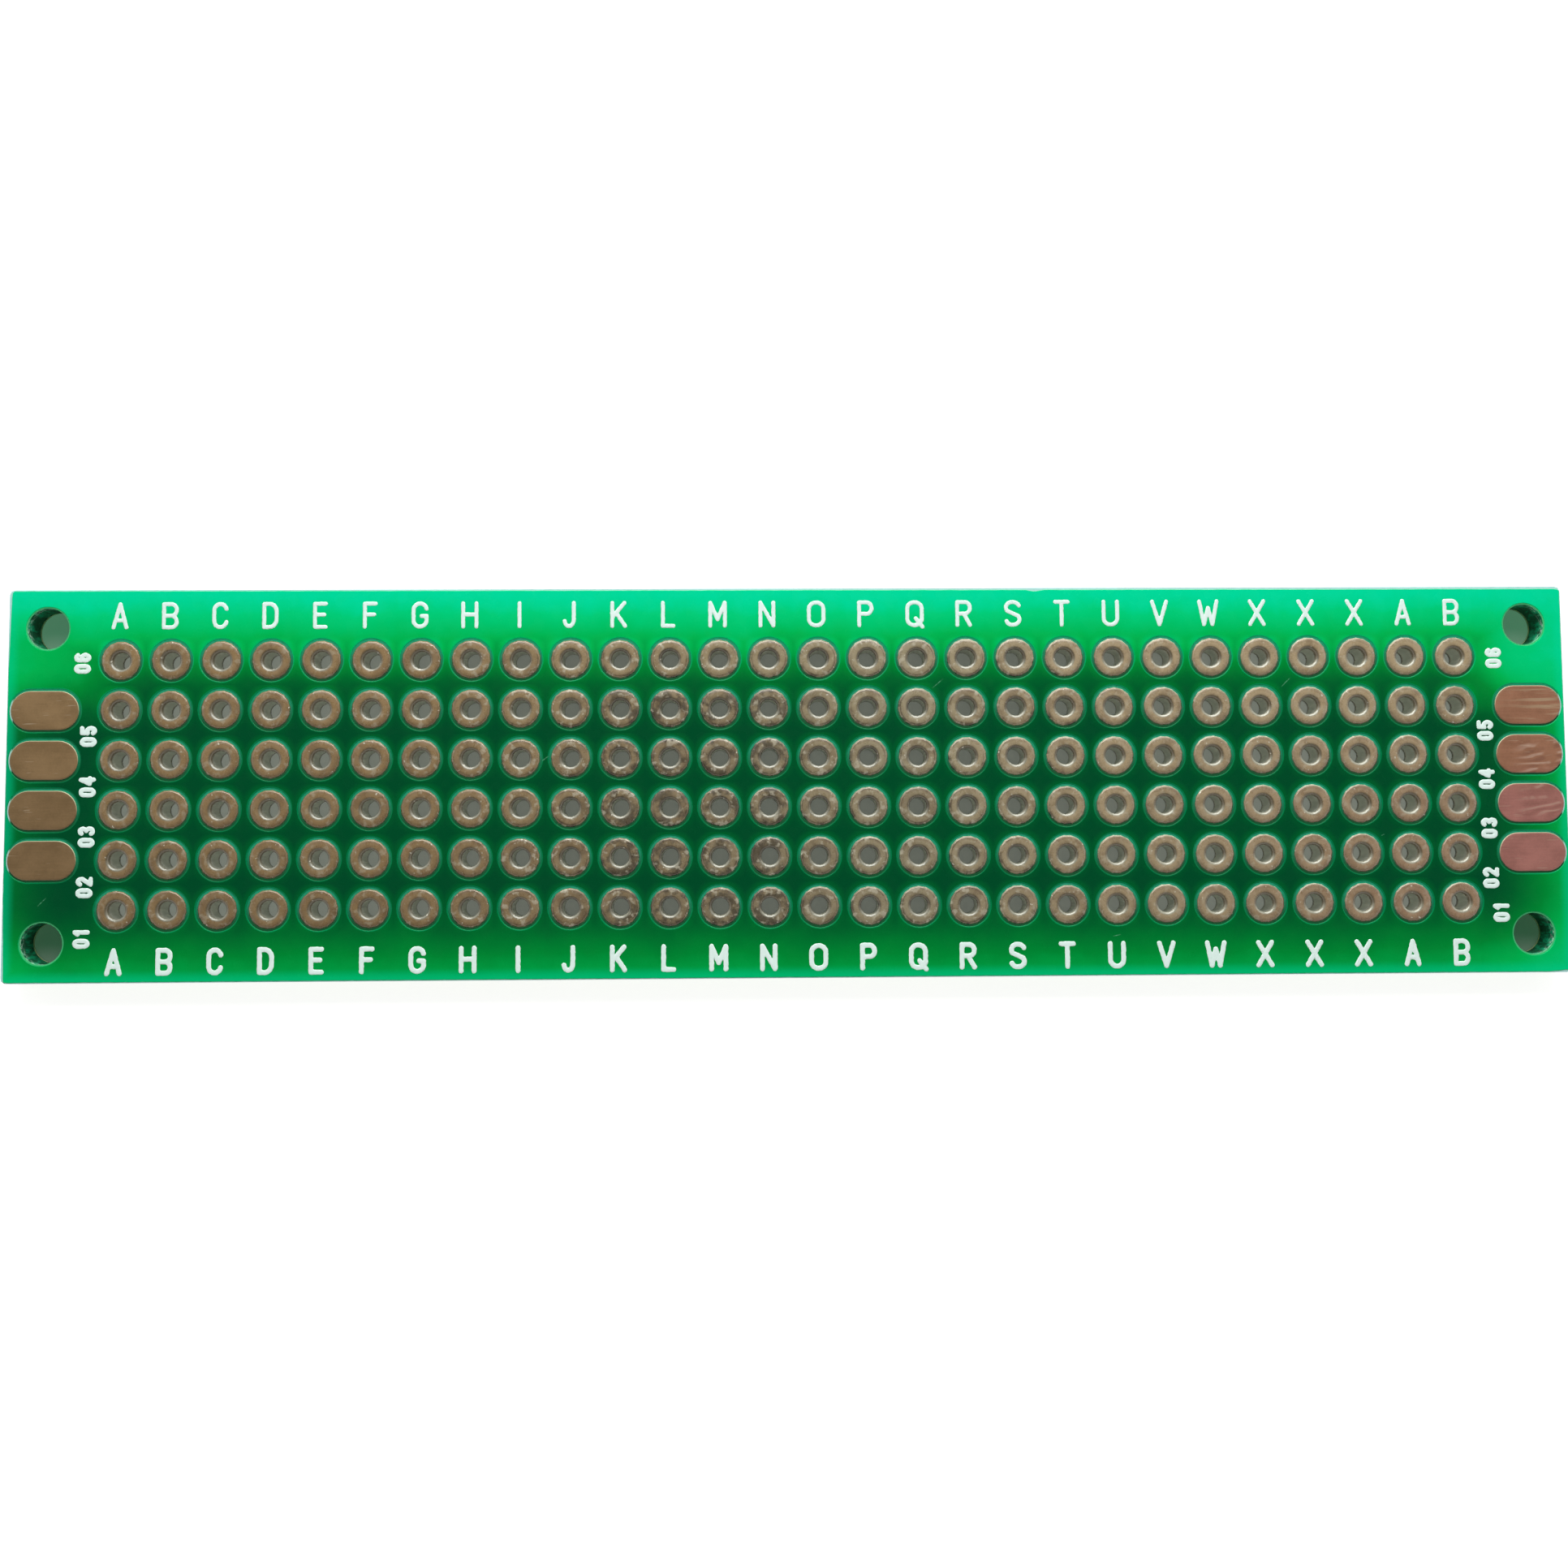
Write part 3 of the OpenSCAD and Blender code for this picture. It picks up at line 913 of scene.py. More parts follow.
def sheet_values(material, opening_radius, inset, mounting_radius, pad_gap=0.0, end_gap=0.0):
    """Inputs of the perforated sheet, drawn inside the outline by an inset.

    The opening of an end pad leaves the pad gap round it, and the end gap towards the board's end.
    """
    return {
        "Length": CAD_HIGH.x - CAD_LOW.x - 2 * inset,
        "Width": CAD_HIGH.y - CAD_LOW.y - 2 * inset,
        "Corner Radius": max(sizes().corner_radius - inset, LEAST_CORNER),
        "Pitch": PITCH,
        "Opening Radius": opening_radius,
        "Mounting X": MOUNTING_X,
        "Mounting Y": MOUNTING_Y,
        "Mounting Radius": mounting_radius,
        "Pad X": PAD_X - (pad_gap - end_gap) / 2,
        "Pad Span": PAD_YS[-1] - PAD_YS[0],
        "Pad Length": PAD_LENGTH + pad_gap + end_gap,
        "Pad Width": PAD_WIDTH + 2 * pad_gap,
        "Pad Corner Radius": NEARLY_ROUND * (PAD_WIDTH / 2 + pad_gap),
        "Outline Step": OUTLINE_STEP,
        "Columns": COLUMNS,
        "Rows": ROWS,
        "Pad Rows": len(PAD_YS),
        "Opening Facets": 32,
        "Mounting Facets": 64,
        "Material": material,
    }


def clamped(value):
    return min(max(value, 0.0), 1.0)


def mask_set_back(x, y):
    """How far a point of the top mask's outline stands back, along X and Y.

    The print is a little off, most at the +X end of the +Y edge, and that edge has a nick.
    """
    size = sizes()
    back = end = front = 0.0
    if y > MOUNTING_Y:
        share = (x - CAD_LOW.x) / (CAD_HIGH.x - CAD_LOW.x)
        back = size.mask_skew * (SKEW_LEFT + (1 - SKEW_LEFT) * share)
        place = 2 * (x - size.nick_position) / size.nick_length
        back += size.nick_depth * max(0.0, 1 - place**2)
    if x < 0:
        end = size.mask_skew * clamped((abs(y) - PAD_YS[-1] - PAD_WIDTH) / SKEW_END_SPAN)
    elif y < 0:
        front = size.mask_skew * clamped((x - CAD_HIGH.x + SKEW_CORNER) / MM)
    return end, front - back


def close_sheet(piece, hole_rings, edge_rings, waver=0.0, set_back=None):
    """Gives a flat sheet its thickness and closes it.

    A ring is (distance past the sheet's drawn edge, height). The rings go from the upper face to
    the lower one, and the first and last lie on the faces. One list is for the plated holes and
    the other, which is as long, for every other edge. The edges of the end pads change from the
    first to the second towards the end of the board. The edge strays by the waver.
    """
    mesh = piece.data
    count = len(mesh.vertices)
    points = np.empty(count * 3)
    mesh.vertices.foreach_get("co", points)
    points = points.reshape(-1, 3)[:, :2].copy()
    faces = [list(p.vertices) for p in mesh.polygons]
    if mesh.polygons[0].normal.z < 0:
        faces = [face[::-1] for face in faces]

    sides = {(a, b) for face in faces for a, b in zip(face, face[1:] + face[:1])}
    rim = sorted((a, b) for a, b in sides if (b, a) not in sides)
    order = {a: i for i, (a, _) in enumerate(rim)}
    if set_back:
        near = np.array(CAD_HIGH.xy) - OUTLINE_BAND
        for a, _ in rim:
            points[a] += set_back(*points[a]) * (np.abs(points[a]) > near)
    outward = np.zeros((count, 2))
    for a, b in rim:
        dx, dy = points[b] - points[a]
        normal = np.array((dy, -dx)) / math.hypot(dx, dy)
        outward[a] += normal
        outward[b] += normal
    edge = [a for a, _ in rim]
    along, across = np.abs(points[edge]).T
    at_hole = (along < COLUMNS * PITCH / 2) & (across < ROWS * PITCH / 2)
    at_pad = (across < len(PAD_YS) * PITCH / 2) & (along < CAD_HIGH.x - END_BAND)
    share = np.clip((PAD_X + PAD_LENGTH / 2 - along) / (PAD_WIDTH / 2), 0, 1)
    share = np.where(at_hole, 1.0, np.where(at_pad, share, 0.0))[:, None]
    outward = outward[edge] / np.linalg.norm(outward[edge], axis=1)[:, None]
    stray = np.array([noise.noise(Vector((*points[a], 0.0)) / WAVER_SPACING) for a in edge]) * waver

    def level(height, flat):
        kept = np.clip(flat, tuple(CAD_LOW.xy), tuple(CAD_HIGH.xy))
        return np.column_stack((kept, np.broadcast_to(height, len(flat))))

    layers = [level(hole_rings[0][1], points)]
    for hole_ring, edge_ring in zip(np.array(hole_rings)[1:-1], np.array(edge_rings)[1:-1]):
        reach, height = (share * hole_ring + (1 - share) * edge_ring).T
        layers.append(level(height, points[edge] + outward * (reach + stray)[:, None]))
    layers.append(level(hole_rings[-1][1], points))
    starts = np.cumsum([0] + [len(layer) for layer in layers])
    last = len(layers) - 1

    def corner(ring, vertex):
        return int(starts[ring]) + (vertex if ring in (0, last) else order[vertex])

    walls = [
        [corner(ring + 1, a), corner(ring + 1, b), corner(ring, b), corner(ring, a)]
        for ring in range(last)
        for a, b in rim
    ]
    under = [[corner(last, v) for v in reversed(face)] for face in faces]
    closed = bpy.data.meshes.new(piece.name)
    closed.from_pydata(np.vstack(layers).tolist(), [], faces + walls + under)
    smooth = np.zeros(len(closed.polygons), bool)
    smooth[len(faces) : len(faces) + len(walls)] = True
    closed.polygons.foreach_set("use_smooth", smooth)
    lip = np.zeros(len(closed.vertices))
    lip[starts[1] : starts[last]] = 1.0
    closed.attributes.new("lip", "FLOAT", "POINT").data.foreach_set("value", lip)
    for material in mesh.materials:
        closed.materials.append(material)
    piece.data = closed
    bpy.data.meshes.remove(mesh)


def superellipse(steps, power):
    """Points of a quarter of a superellipse, from (1, 0) to (0, 1)."""
    angles = [i * math.pi / 2 / steps for i in range(steps)]
    bend = [(math.cos(a) ** (2 / power), math.sin(a) ** (2 / power)) for a in angles]
    return bend + [(0, 1)]


def plated_hole_profile():
    """Half section of a plated hole, as (radius, height), from the top land's foot."""
    size = sizes()
    top, foot = CAD_HIGH.z, LAMINATE_HIGH.z
    outer = [
        (size.crown_radius + (LAND_RADIUS - size.crown_radius) * r, foot + (top - foot) * z)
        for r, z in superellipse(*CROWN_CURVE)
    ]
    inner = [
        (BORE_RADIUS + (size.crown_radius - BORE_RADIUS) * (1 - r), top - size.knee_depth * (1 - z))
        for z, r in superellipse(*KNEE_CURVE)
    ]
    wall, edge = BORE_RADIUS + size.drill_gap, size.drilled_edge
    upper = outer + inner[1:]
    under = [(wall, foot - edge), (wall + edge, foot)]

    def mirrored(points):
        return [(r, CAD_HIGH.z + CAD_LOW.z - z) for r, z in reversed(points)]

    return upper + mirrored(upper) + mirrored(under) + under


def rounded_edge_rings(radius, steps=3):
    """Rings of the laminate's edge: it is round at both faces and straight between."""
    angles = [i * math.pi / 2 / steps for i in range(steps + 1)]
    bends = [(radius * math.sin(a), radius * (1 - math.cos(a))) for a in angles]
    upper = [(reach, LAMINATE_HIGH.z - drop) for reach, drop in bends]
    return upper + [(reach, LAMINATE_LOW.z + drop) for reach, drop in reversed(bends)]


def uneven(turn, r, z):
    """A point of a plated hole at an angle, a little dented near its mouth and on its lands."""
    dent = noise.noise(Vector((math.cos(turn) * DENT_REACH, math.sin(turn) * DENT_REACH, z / MM)))
    middle = CAD_HIGH.z / 2
    if abs(z - middle) > middle - LAND_BAND:
        z -= math.copysign(LAND_DENT * abs(dent), z - middle)
    if r < min(BORE_RADIUS + MOUTH_BAND, MOUTH_LIMIT * LAND_RADIUS):
        r += MOUTH_DENT * dent
    return r * math.cos(turn), r * math.sin(turn), z


def plated_hole_shape():
    """One plated hole, revolved from its profile."""
    profile = plated_hole_profile()
    facets, count = stage_sizes().facets, len(profile)
    turns = [2 * math.pi * i / facets for i in range(facets)]
    vertices = [uneven(turn, r, z) for turn in turns for r, z in profile]
    faces = []
    for i in range(facets):
        here, there = i * count, (i + 1) % facets * count
        for j in range(count):
            k = (j + 1) % count
            faces.append((here + j, there + j, there + k, here + k))
    shape = new_object("plated_hole_shape", vertices, faces)
    make_smooth(shape)
    return shape


def plated_row_tree():
    """Repeats one plated hole along a row, each turned, strayed and toned a little differently."""
    inputs = {
        "Shape": "Object",
        "Columns": "Int",
        "Pitch": "Float",
        "Row Y": "Float",
        "Drift": "Float",
        "Seed": "Int",
        "Material": "Material",
    }
    row = ShapeTree("plated hole row", inputs)
    given = row.given
    first = (given["Columns"] - 1.0) * -0.5 * given["Pitch"]
    inputs = {
        "Count": given["Columns"],
        "Start Location": row.vector(X=first, Y=given["Row Y"]),
        "Offset": row.vector(X=given["Pitch"]),
    }
    line = row.make("GeometryNodeMeshLine", inputs, mode="OFFSET")

    def random(kind, low, high, sockets):
        value = row.add("FunctionNodeRandomValue", {"Seed": given["Seed"]}, data_type=kind)
        for socket, limit in zip(sockets, (low, high)):
            value.inputs[socket].default_value = limit
        return value.outputs

    spread = random("FLOAT_VECTOR", (-1.0, -1.0, 0.0), (1.0, 1.0, 0.0), (0, 1))[0]
    inputs = {0: spread, "Scale": given["Drift"]}
    shift = row.make("ShaderNodeVectorMath", inputs, operation="SCALE")
    strayed = row.make("GeometryNodeSetPosition", {"Geometry": line, "Offset": shift})
    turn = row.vector(Z=random("FLOAT", 0.0, 2 * math.pi, (2, 3))[1])
    shape = row.add("GeometryNodeObjectInfo", {"Object": given["Shape"]}).outputs["Geometry"]
    placed = row.on_points(strayed, shape, Rotation=turn)
    inputs = {
        "Geometry": placed,
        "Name": "own_tone",
        "Value": random("FLOAT", 0.0, 1.0, (2, 3))[1],
    }
    toned = row.make(
        "GeometryNodeStoreNamedAttribute", inputs, data_type="FLOAT", domain="INSTANCE"
    )
    row.end(row.realize(toned))
    return row


def rounded_ring(half_length, half_width, radius, steps=8):
    """Points round a rectangle with round corners, anticlockwise."""
    points = []
    for corner, (sx, sy) in enumerate(((1, 1), (-1, 1), (-1, -1), (1, -1))):
        for i in range(steps + 1):
            a = (corner + i / steps) * math.pi / 2
            x = sx * (half_length - radius) + radius * math.cos(a)
            points.append((x, sy * (half_width - radius) + radius * math.sin(a)))
    return points


def end_pad(name, node, material):
    """One oblong pad, with a round edge and a face that isn't quite flat."""
    edge = sizes().pad_edge
    low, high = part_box(node)
    middle = (low + high) / 2
    on_top = middle.z > CAD_HIGH.z / 2
    foot, top = (low.z, high.z) if on_top else (high.z, low.z)
    insets = [(edge * (1 - r), z) for r, z in superellipse(*PAD_EDGE_CURVE)]
    insets += [(inset * MM, 1.0) for inset in PAD_FACE_INSETS]
    vertices, faces = [], []
    for inset, rise in insets:
        ring = rounded_ring(
            PAD_LENGTH / 2 - inset, PAD_WIDTH / 2 - inset, NEARLY_ROUND * PAD_WIDTH / 2 - inset
        )
        for x, y in ring:
            spot = Vector((middle.x + x, middle.y + y, 0.0))
            wave = (1 + noise.noise(spot / PAD_DIP_SPACING)) / 2 if inset > edge / 2 else 0.0
            vertices.append((spot.x, spot.y, foot + (top - foot) * (rise - PAD_DIP * wave)))
    count = len(ring)
    last = (len(insets) - 1) * count
    for here in range(0, last, count):
        for i in range(count):
            j = (i + 1) % count
            faces.append((here + i, here + j, here + count + j, here + count + i))
    faces += [tuple(range(last, last + count)), tuple(reversed(range(count)))]
    if not on_top:
        faces = [face[::-1] for face in faces]
    pad = new_object(name, vertices, faces)
    make_smooth(pad, 1)
    finish_piece(pad, "copper", node, material=material)


# ---------------------------------------------------------------------------------------------
# Printed legend
# ---------------------------------------------------------------------------------------------


def arc(x, y, across, up, start, end):
    """Points of an arc in a letter's box, with angles in degrees."""
    count = max(3, round(abs(end - start) / 15))
    angles = [math.radians(start + (end - start) * i / count) for i in range(count + 1)]
    return [(x + across * math.cos(a), y + up * math.sin(a)) for a in angles]


BOWL = arc(0.5, 0.72, 0.5, 0.28, 0, 180) + arc(0.5, 0.28, 0.5, 0.28, 180, 360) + [(1, 0.72)]
HOOK = arc(0.5, 0.72, 0.5, 0.28, 12, 180) + arc(0.5, 0.28, 0.5, 0.28, 180, 348)
LOOP = [(0, 1), (0.55, 1)] + arc(0.6, 0.75, 0.4, 0.25, 90, -90) + [(0, 0.5)]
BELLY = arc(0.45, 0.65, 0.55, 0.35, 90, 0) + arc(0.45, 0.35, 0.55, 0.35, 0, -90)

# Each glyph is its width over its height, both along the middle of the strokes, and its strokes
# in a box from (0, 0) to (1, 1).
GLYPHS = {
    "A": (0.55, [[(0, 0), (0.5, 1), (1, 0)], [(0.16, 0.3), (0.84, 0.3)]]),
    "B": (0.54, [LOOP, [(0.5, 0.5)] + arc(0.6, 0.25, 0.4, 0.25, 90, -90) + [(0, 0), (0, 1)]]),
    "C": (0.53, [HOOK]),
    "D": (0.53, [[(0, 0), (0, 1)] + BELLY + [(0, 0)]]),
    "E": (0.46, [[(1, 1), (0, 1), (0, 0), (1, 0)], [(0, 0.53), (0.86, 0.53)]]),
    "F": (0.46, [[(1, 1), (0, 1), (0, 0)], [(0, 0.53), (0.86, 0.53)]]),
    "G": (0.56, [HOOK + [(1, 0.46), (0.62, 0.46)]]),
    "H": (0.57, [[(0, 0), (0, 1)], [(1, 0), (1, 1)], [(0, 0.52), (1, 0.52)]]),
    "I": (0.02, [[(0.5, 0), (0.5, 1)]]),
    "J": (0.4, [[(1, 1), (1, 0.3)] + arc(0.5, 0.3, 0.5, 0.3, 0, -165)]),
    "K": (0.55, [[(0, 0), (0, 1)], [(0.95, 1), (0, 0.38)], [(0.3, 0.58), (1, 0)]]),
    "L": (0.45, [[(0, 1), (0, 0), (1, 0)]]),
    "M": (0.63, [[(0, 0), (0, 1), (0.5, 0.28), (1, 1), (1, 0)]]),
    "N": (0.56, [[(0, 0), (0, 1), (1, 0), (1, 1)]]),
    "O": (0.63, [BOWL]),
    "P": (0.54, [[(0, 0)] + LOOP]),
    "Q": (0.63, [BOWL, [(0.58, 0.3), (1.04, -0.07)]]),
    "R": (0.55, [[(0, 0)] + LOOP, [(0.5, 0.5), (1, 0)]]),
    "S": (0.58, [arc(0.5, 0.755, 0.5, 0.245, 20, 215) + arc(0.5, 0.25, 0.5, 0.25, 35, -160)]),
    "T": (0.55, [[(0, 1), (1, 1)], [(0.5, 1), (0.5, 0)]]),
    "U": (0.59, [[(0, 1)] + arc(0.5, 0.28, 0.5, 0.28, 180, 360) + [(1, 1)]]),
    "V": (0.62, [[(0, 1), (0.5, 0), (1, 1)]]),
    "W": (0.76, [[(0, 1), (0.26, 0), (0.5, 0.72), (0.74, 0), (1, 1)]]),
    "X": (0.6, [[(0, 0), (1, 1)], [(0, 1), (1, 0)]]),
    "0": (0.42, [BOWL]),
    "1": (0.42, [[(0.1, 0.78), (0.5, 1), (0.5, 0)]]),
    "2": (0.42, [arc(0.5, 0.72, 0.5, 0.28, 160, -20) + [(0, 0), (1, 0)]]),
    "3": (0.42, [arc(0.5, 0.75, 0.45, 0.25, 150, -80) + arc(0.5, 0.25, 0.5, 0.25, 80, -150)]),
    "4": (0.42, [[(0.72, 0), (0.72, 1), (0, 0.32), (1, 0.32)]]),
    "5": (0.42, [[(0.95, 1), (0.1, 1), (0.05, 0.55)] + arc(0.48, 0.3, 0.5, 0.3, 110, -150)]),
    "6": (0.42, [arc(0.5, 0.72, 0.5, 0.28, 30, 180) + arc(0.5, 0.28, 0.5, 0.28, 180, 540)]),
}


# Row numbers stand between the rows, turned to read upwards. Each is (row, distance towards the
# end from the usual place, distance from the row), in millimetres.
LEFT_NUMBERS = (
    (6, 0.37, -0.13),
    (5, 0.0, -1.33),
    (4, 0.0, -1.35),
    (3, 0.0, -1.36),
    (2, 0.05, -1.37),
    (1, 0.15, -1.37),
)
RIGHT_NUMBERS = (
    (6, 0.5, -0.1),
    (5, -0.05, -1.33),
    (4, -0.05, -1.3),
    (3, 0.0, -1.31),
    (2, 0.0, -1.33),
    (1, 0.48, -0.52),
)


def glyph_strokes(character, height, width=None):
    """A glyph's strokes at a height along the middle of the strokes, centred at their foot."""
    share, strokes = GLYPHS[character]
    across = height * share if width is None else width
    return [[((x - 0.5) * across, y * height) for x, y in stroke] for stroke in strokes]


def fray(x, y):
    """How far the edge of the ink strays at a point, from about -1.5 to 1.5."""
    coarse = noise.noise(Vector((x, y, 0.0)) / FRAY_COARSE)
    return coarse + noise.noise(Vector((x, y, 9.0)) / FRAY_FINE) / 2


def stroke_depth(xs, ys, strokes, half):
    """How far each point of a grid lies inside the inked strokes. It is negative outside them."""
    px, py = np.meshgrid(xs, ys, indexing="ij")
    nearest = np.full(px.shape, np.inf)
    for stroke in strokes:
        for (ax, ay), (bx, by) in zip(stroke, stroke[1:]):
            dx, dy = bx - ax, by - ay
            run = dx * dx + dy * dy
            if run > 0:
                t = np.clip(((px - ax) * dx + (py - ay) * dy) / run, 0, 1)
                nearest = np.minimum(nearest, np.hypot(px - ax - t * dx, py - ay - t * dy))
    rough = np.array([[fray(x, y) for y in ys] for x in xs])
    return half - nearest + rough * half * INK_FRAY


class InkMesh:
    """Gathers patches of ink. A patch is a low cushion that thins out to nothing at its outline."""

    def __init__(self):
        self.base = TOP_FILM_HIGH.z
        self.vertices, self.faces = [], []

    def add(self, strokes, stroke_width):
        size = legend_sizes()
        grid, half = size.ink_grid, stroke_width / 2
        flat = np.array([point for stroke in strokes for point in stroke])
        reach = INK_REACH * half + grid
        xs, ys = (
            np.arange(low - reach, high + reach, grid)
            for low, high in zip(flat.min(axis=0), flat.max(axis=0))
        )
        depth = stroke_depth(xs, ys, strokes, half)
        found = {}

        def vertex(key, x, y, d):
            """Index of a point's vertex on the face of the ink, and whether one lies under it."""
            if key not in found:
                found[key] = len(self.vertices)
                rise = size.ink_height * min(1.0, d / (INK_SHOULDER * half)) ** 0.5
                self.vertices.append((x, y, self.base + rise))
                if d > 0:
                    self.vertices.append((x, y, self.base))
            return found[key], d > 0

        def crossing(here, there):
            """The vertex where the outline crosses a side of the grid."""
            here, there = sorted((here, there))
            share = depth[here] / (depth[here] - depth[there])
            x = xs[here[0]] + (xs[there[0]] - xs[here[0]]) * share
            y = ys[here[1]] + (ys[there[1]] - ys[here[1]]) * share
            return vertex((here, there), x, y, 0.0)

        for i in range(len(xs) - 1):
            for j in range(len(ys) - 1):
                corners = ((i, j), (i + 1, j), (i + 1, j + 1), (i, j + 1))
                inside = [depth[c] > 0 for c in corners]
                if not any(inside):
                    continue
                loop = []
                for n in range(4):
                    here, there = corners[n], corners[(n + 1) % 4]
                    if inside[n]:
                        loop.append(vertex(here, xs[here[0]], ys[here[1]], depth[here]))
                    if inside[n] != inside[(n + 1) % 4]:
                        loop.append(crossing(here, there))
                lower = [index + raised for index, raised in reversed(loop)]
                self.faces += [[index for index, _ in loop], lower]

    def piece(self, name, material):
        made = new_object(name, self.vertices, self.faces)
        make_smooth(made)
        finish_piece(made, "legend", material=material)


def letter_line(name, material, foot, stroke):
    """One line of column letters."""
    size = legend_sizes()
    ink = InkMesh()
    for column, character in enumerate(size.letters[:COLUMNS]):
        x = (column - (COLUMNS - 1) / 2) * PITCH + size.letter_shift
        strokes = glyph_strokes(character, size.cap_height - stroke)
        ink.add([[(x + u, foot + stroke / 2 + v) for u, v in line] for line in strokes], stroke)
    ink.piece(name, material)


def number_column(name, material, side, places):
    """The row numbers at one end. They read upwards, from the -Y side."""
    size = legend_sizes()
    ink = InkMesh()
    stroke = size.number_stroke
    tall = size.number_height - stroke
    wide = (size.number_length - NUMBER_GAP) / 2 - stroke
    for row, outward, along in places:
        x = side * (size.number_x + outward * MM) + tall / 2
        y = ROW_YS[row - 1] + along * MM
        for digit, shift in zip(f"{row:02d}", (-1, 1)):
            digit_y = y + shift * (wide + stroke + NUMBER_GAP) / 2
            strokes = glyph_strokes(digit, tall, wide)
            ink.add([[(x - v, digit_y + u) for u, v in line] for line in strokes], stroke)
    ink.piece(name, material)


# ---------------------------------------------------------------------------------------------
# Operators
# ---------------------------------------------------------------------------------------------

# Section of the mask's rolled edge, as (share of the lip's width, share of the film's thickness),
# from the film's face to the laminate's
MASK_FALL = (
    (0.0, 0.0),
    (0.3, 0.02),
    (0.65, 0.2),
    (0.9, 0.55),
    (1.0, 0.85),
    (1.0, 1.0),
    (0.0, 1.0),
)
FIRST_ROW_SEED = 41


class BOARD_OT_laminate(Operator):
    """Make the drilled glass-epoxy sheet"""

    bl_idname = "board.laminate"
    bl_label = "Laminate"

    def execute(self, context):
        size = sizes()
        opening = BORE_RADIUS + size.drill_gap + size.drilled_edge
        values = sheet_values(laminate_finish(), opening, size.arris, MOUNTING_RADIUS + size.arris)
        values["Pad Rows"] = 0
        values["Opening Facets"] = stage_sizes().facets
        sheet = perforated_sheet_tree().mesh("laminate_sheet", values)
        close_sheet(sheet, rounded_edge_rings(size.drilled_edge), rounded_edge_rings(size.arris))
        finish_piece(sheet, "laminate", "laminate")
        return {"FINISHED"}


class BOARD_OT_mask_films(Operator):
    """Make the solder mask film on each face"""

    bl_idname = "board.mask_films"
    bl_label = "Solder mask films"

    def execute(self, context):
        size = sizes()
        lips = (size.mask_lip, size.mask_edge_lip)
        tree = perforated_sheet_tree()
        values = sheet_values(
            mask_finish(),
            LAND_RADIUS + size.mask_clearance + size.mask_lip,
            size.mask_pullback + size.mask_edge_lip,
            MOUNTING_RADIUS + size.mounting_ring + size.mask_edge_lip,
            size.mask_clearance + size.mask_lip,
            size.mask_end_clearance + size.mask_edge_lip,
        )
        thickness = TOP_FILM_HIGH.z - TOP_FILM_LOW.z
        films = (
            ("top", TOP_FILM_HIGH.z, -thickness, MASK_FALL, mask_set_back),
            ("bottom", BOTTOM_FILM_LOW.z, thickness, MASK_FALL[::-1], None),
        )
        for face, start, depth, fall, set_back in films:
            film = tree.mesh(f"mask_film_{face}", values)
            rings = [[(lip * r, start + depth * z) for r, z in fall] for lip in lips]
            close_sheet(film, *rings, size.mask_waver, set_back)
            finish_piece(film, "solder_mask", f"solder_mask_{face}")
        return {"FINISHED"}


class BOARD_OT_plated_holes(Operator):
    """Make the rows of plated holes"""

    bl_idname = "board.plated_holes"
    bl_label = "Plated holes"

    def execute(self, context):
        shape = plated_hole_shape()
        tree = plated_row_tree()
        values = {
            "Shape": shape,
            "Columns": COLUMNS,
            "Pitch": PITCH,
            "Drift": sizes().drift,
            "Material": land_finish(),
        }
        for row, (node, y) in enumerate(zip(ROW_NODES, ROW_YS)):
            own = {"Row Y": y, "Seed": FIRST_ROW_SEED + row}
            piece = tree.mesh(f"plated_holes_{row + 1}", {**values, **own})
            finish_piece(piece, "copper", node)
        mesh = shape.data
        bpy.data.objects.remove(shape)
        bpy.data.meshes.remove(mesh)
        return {"FINISHED"}


class BOARD_OT_end_pads(Operator):
    """Make the oblong pads at both ends"""

    bl_idname = "board.end_pads"
    bl_label = "End pads"

    def execute(self, context):
        paint = colours()
        left = (paint.pad_left_front, paint.pad_left_back, False)
        right = (paint.pad_right_front, paint.pad_right_back, True)
        finishes = {
            "left": pad_finish("end_pad_copper_left", *left),
            "right": pad_finish("end_pad_copper_right", *right),
        }
        for node in PAD_NODES:
            end, rest = node.split("_end_pad_")
            end_pad(f"end_pad_{end}_{rest}", node, finishes[end])
        return {"FINISHED"}


class BOARD_OT_legend(Operator):
    """Print the column letters and the row numbers"""

    bl_idname = "board.legend"
    bl_label = "Printed legend"

    def execute(self, context):
        size = legend_sizes()
        material = ink_finish()
        letter_line("legend_letters_back", material, size.top_line, size.stroke)
        letter_line("legend_letters_front", material, size.bottom_line, size.bold_stroke)
        number_column("legend_numbers_left", material, -1, LEFT_NUMBERS)
        number_column("legend_numbers_right", material, 1, RIGHT_NUMBERS)
        return {"FINISHED"}


class BOARD_OT_stage(Operator):
    """Make the floor, the surroundings, the lamp and the camera"""

    bl_idname = "board.stage"
    bl_label = "Stage"

    def execute(self, context):
        scene = context.scene
        make_floor()
        make_surroundings(scene)
        make_window(scene)
        make_camera(scene)
        scene.view_settings.view_transform = "Standard"
        return {"FINISHED"}


# ---------------------------------------------------------------------------------------------
# Stage
# ---------------------------------------------------------------------------------------------

WHITE = (1.0, 1.0, 1.0)
FLOOR_DROP = 0.01 * MM

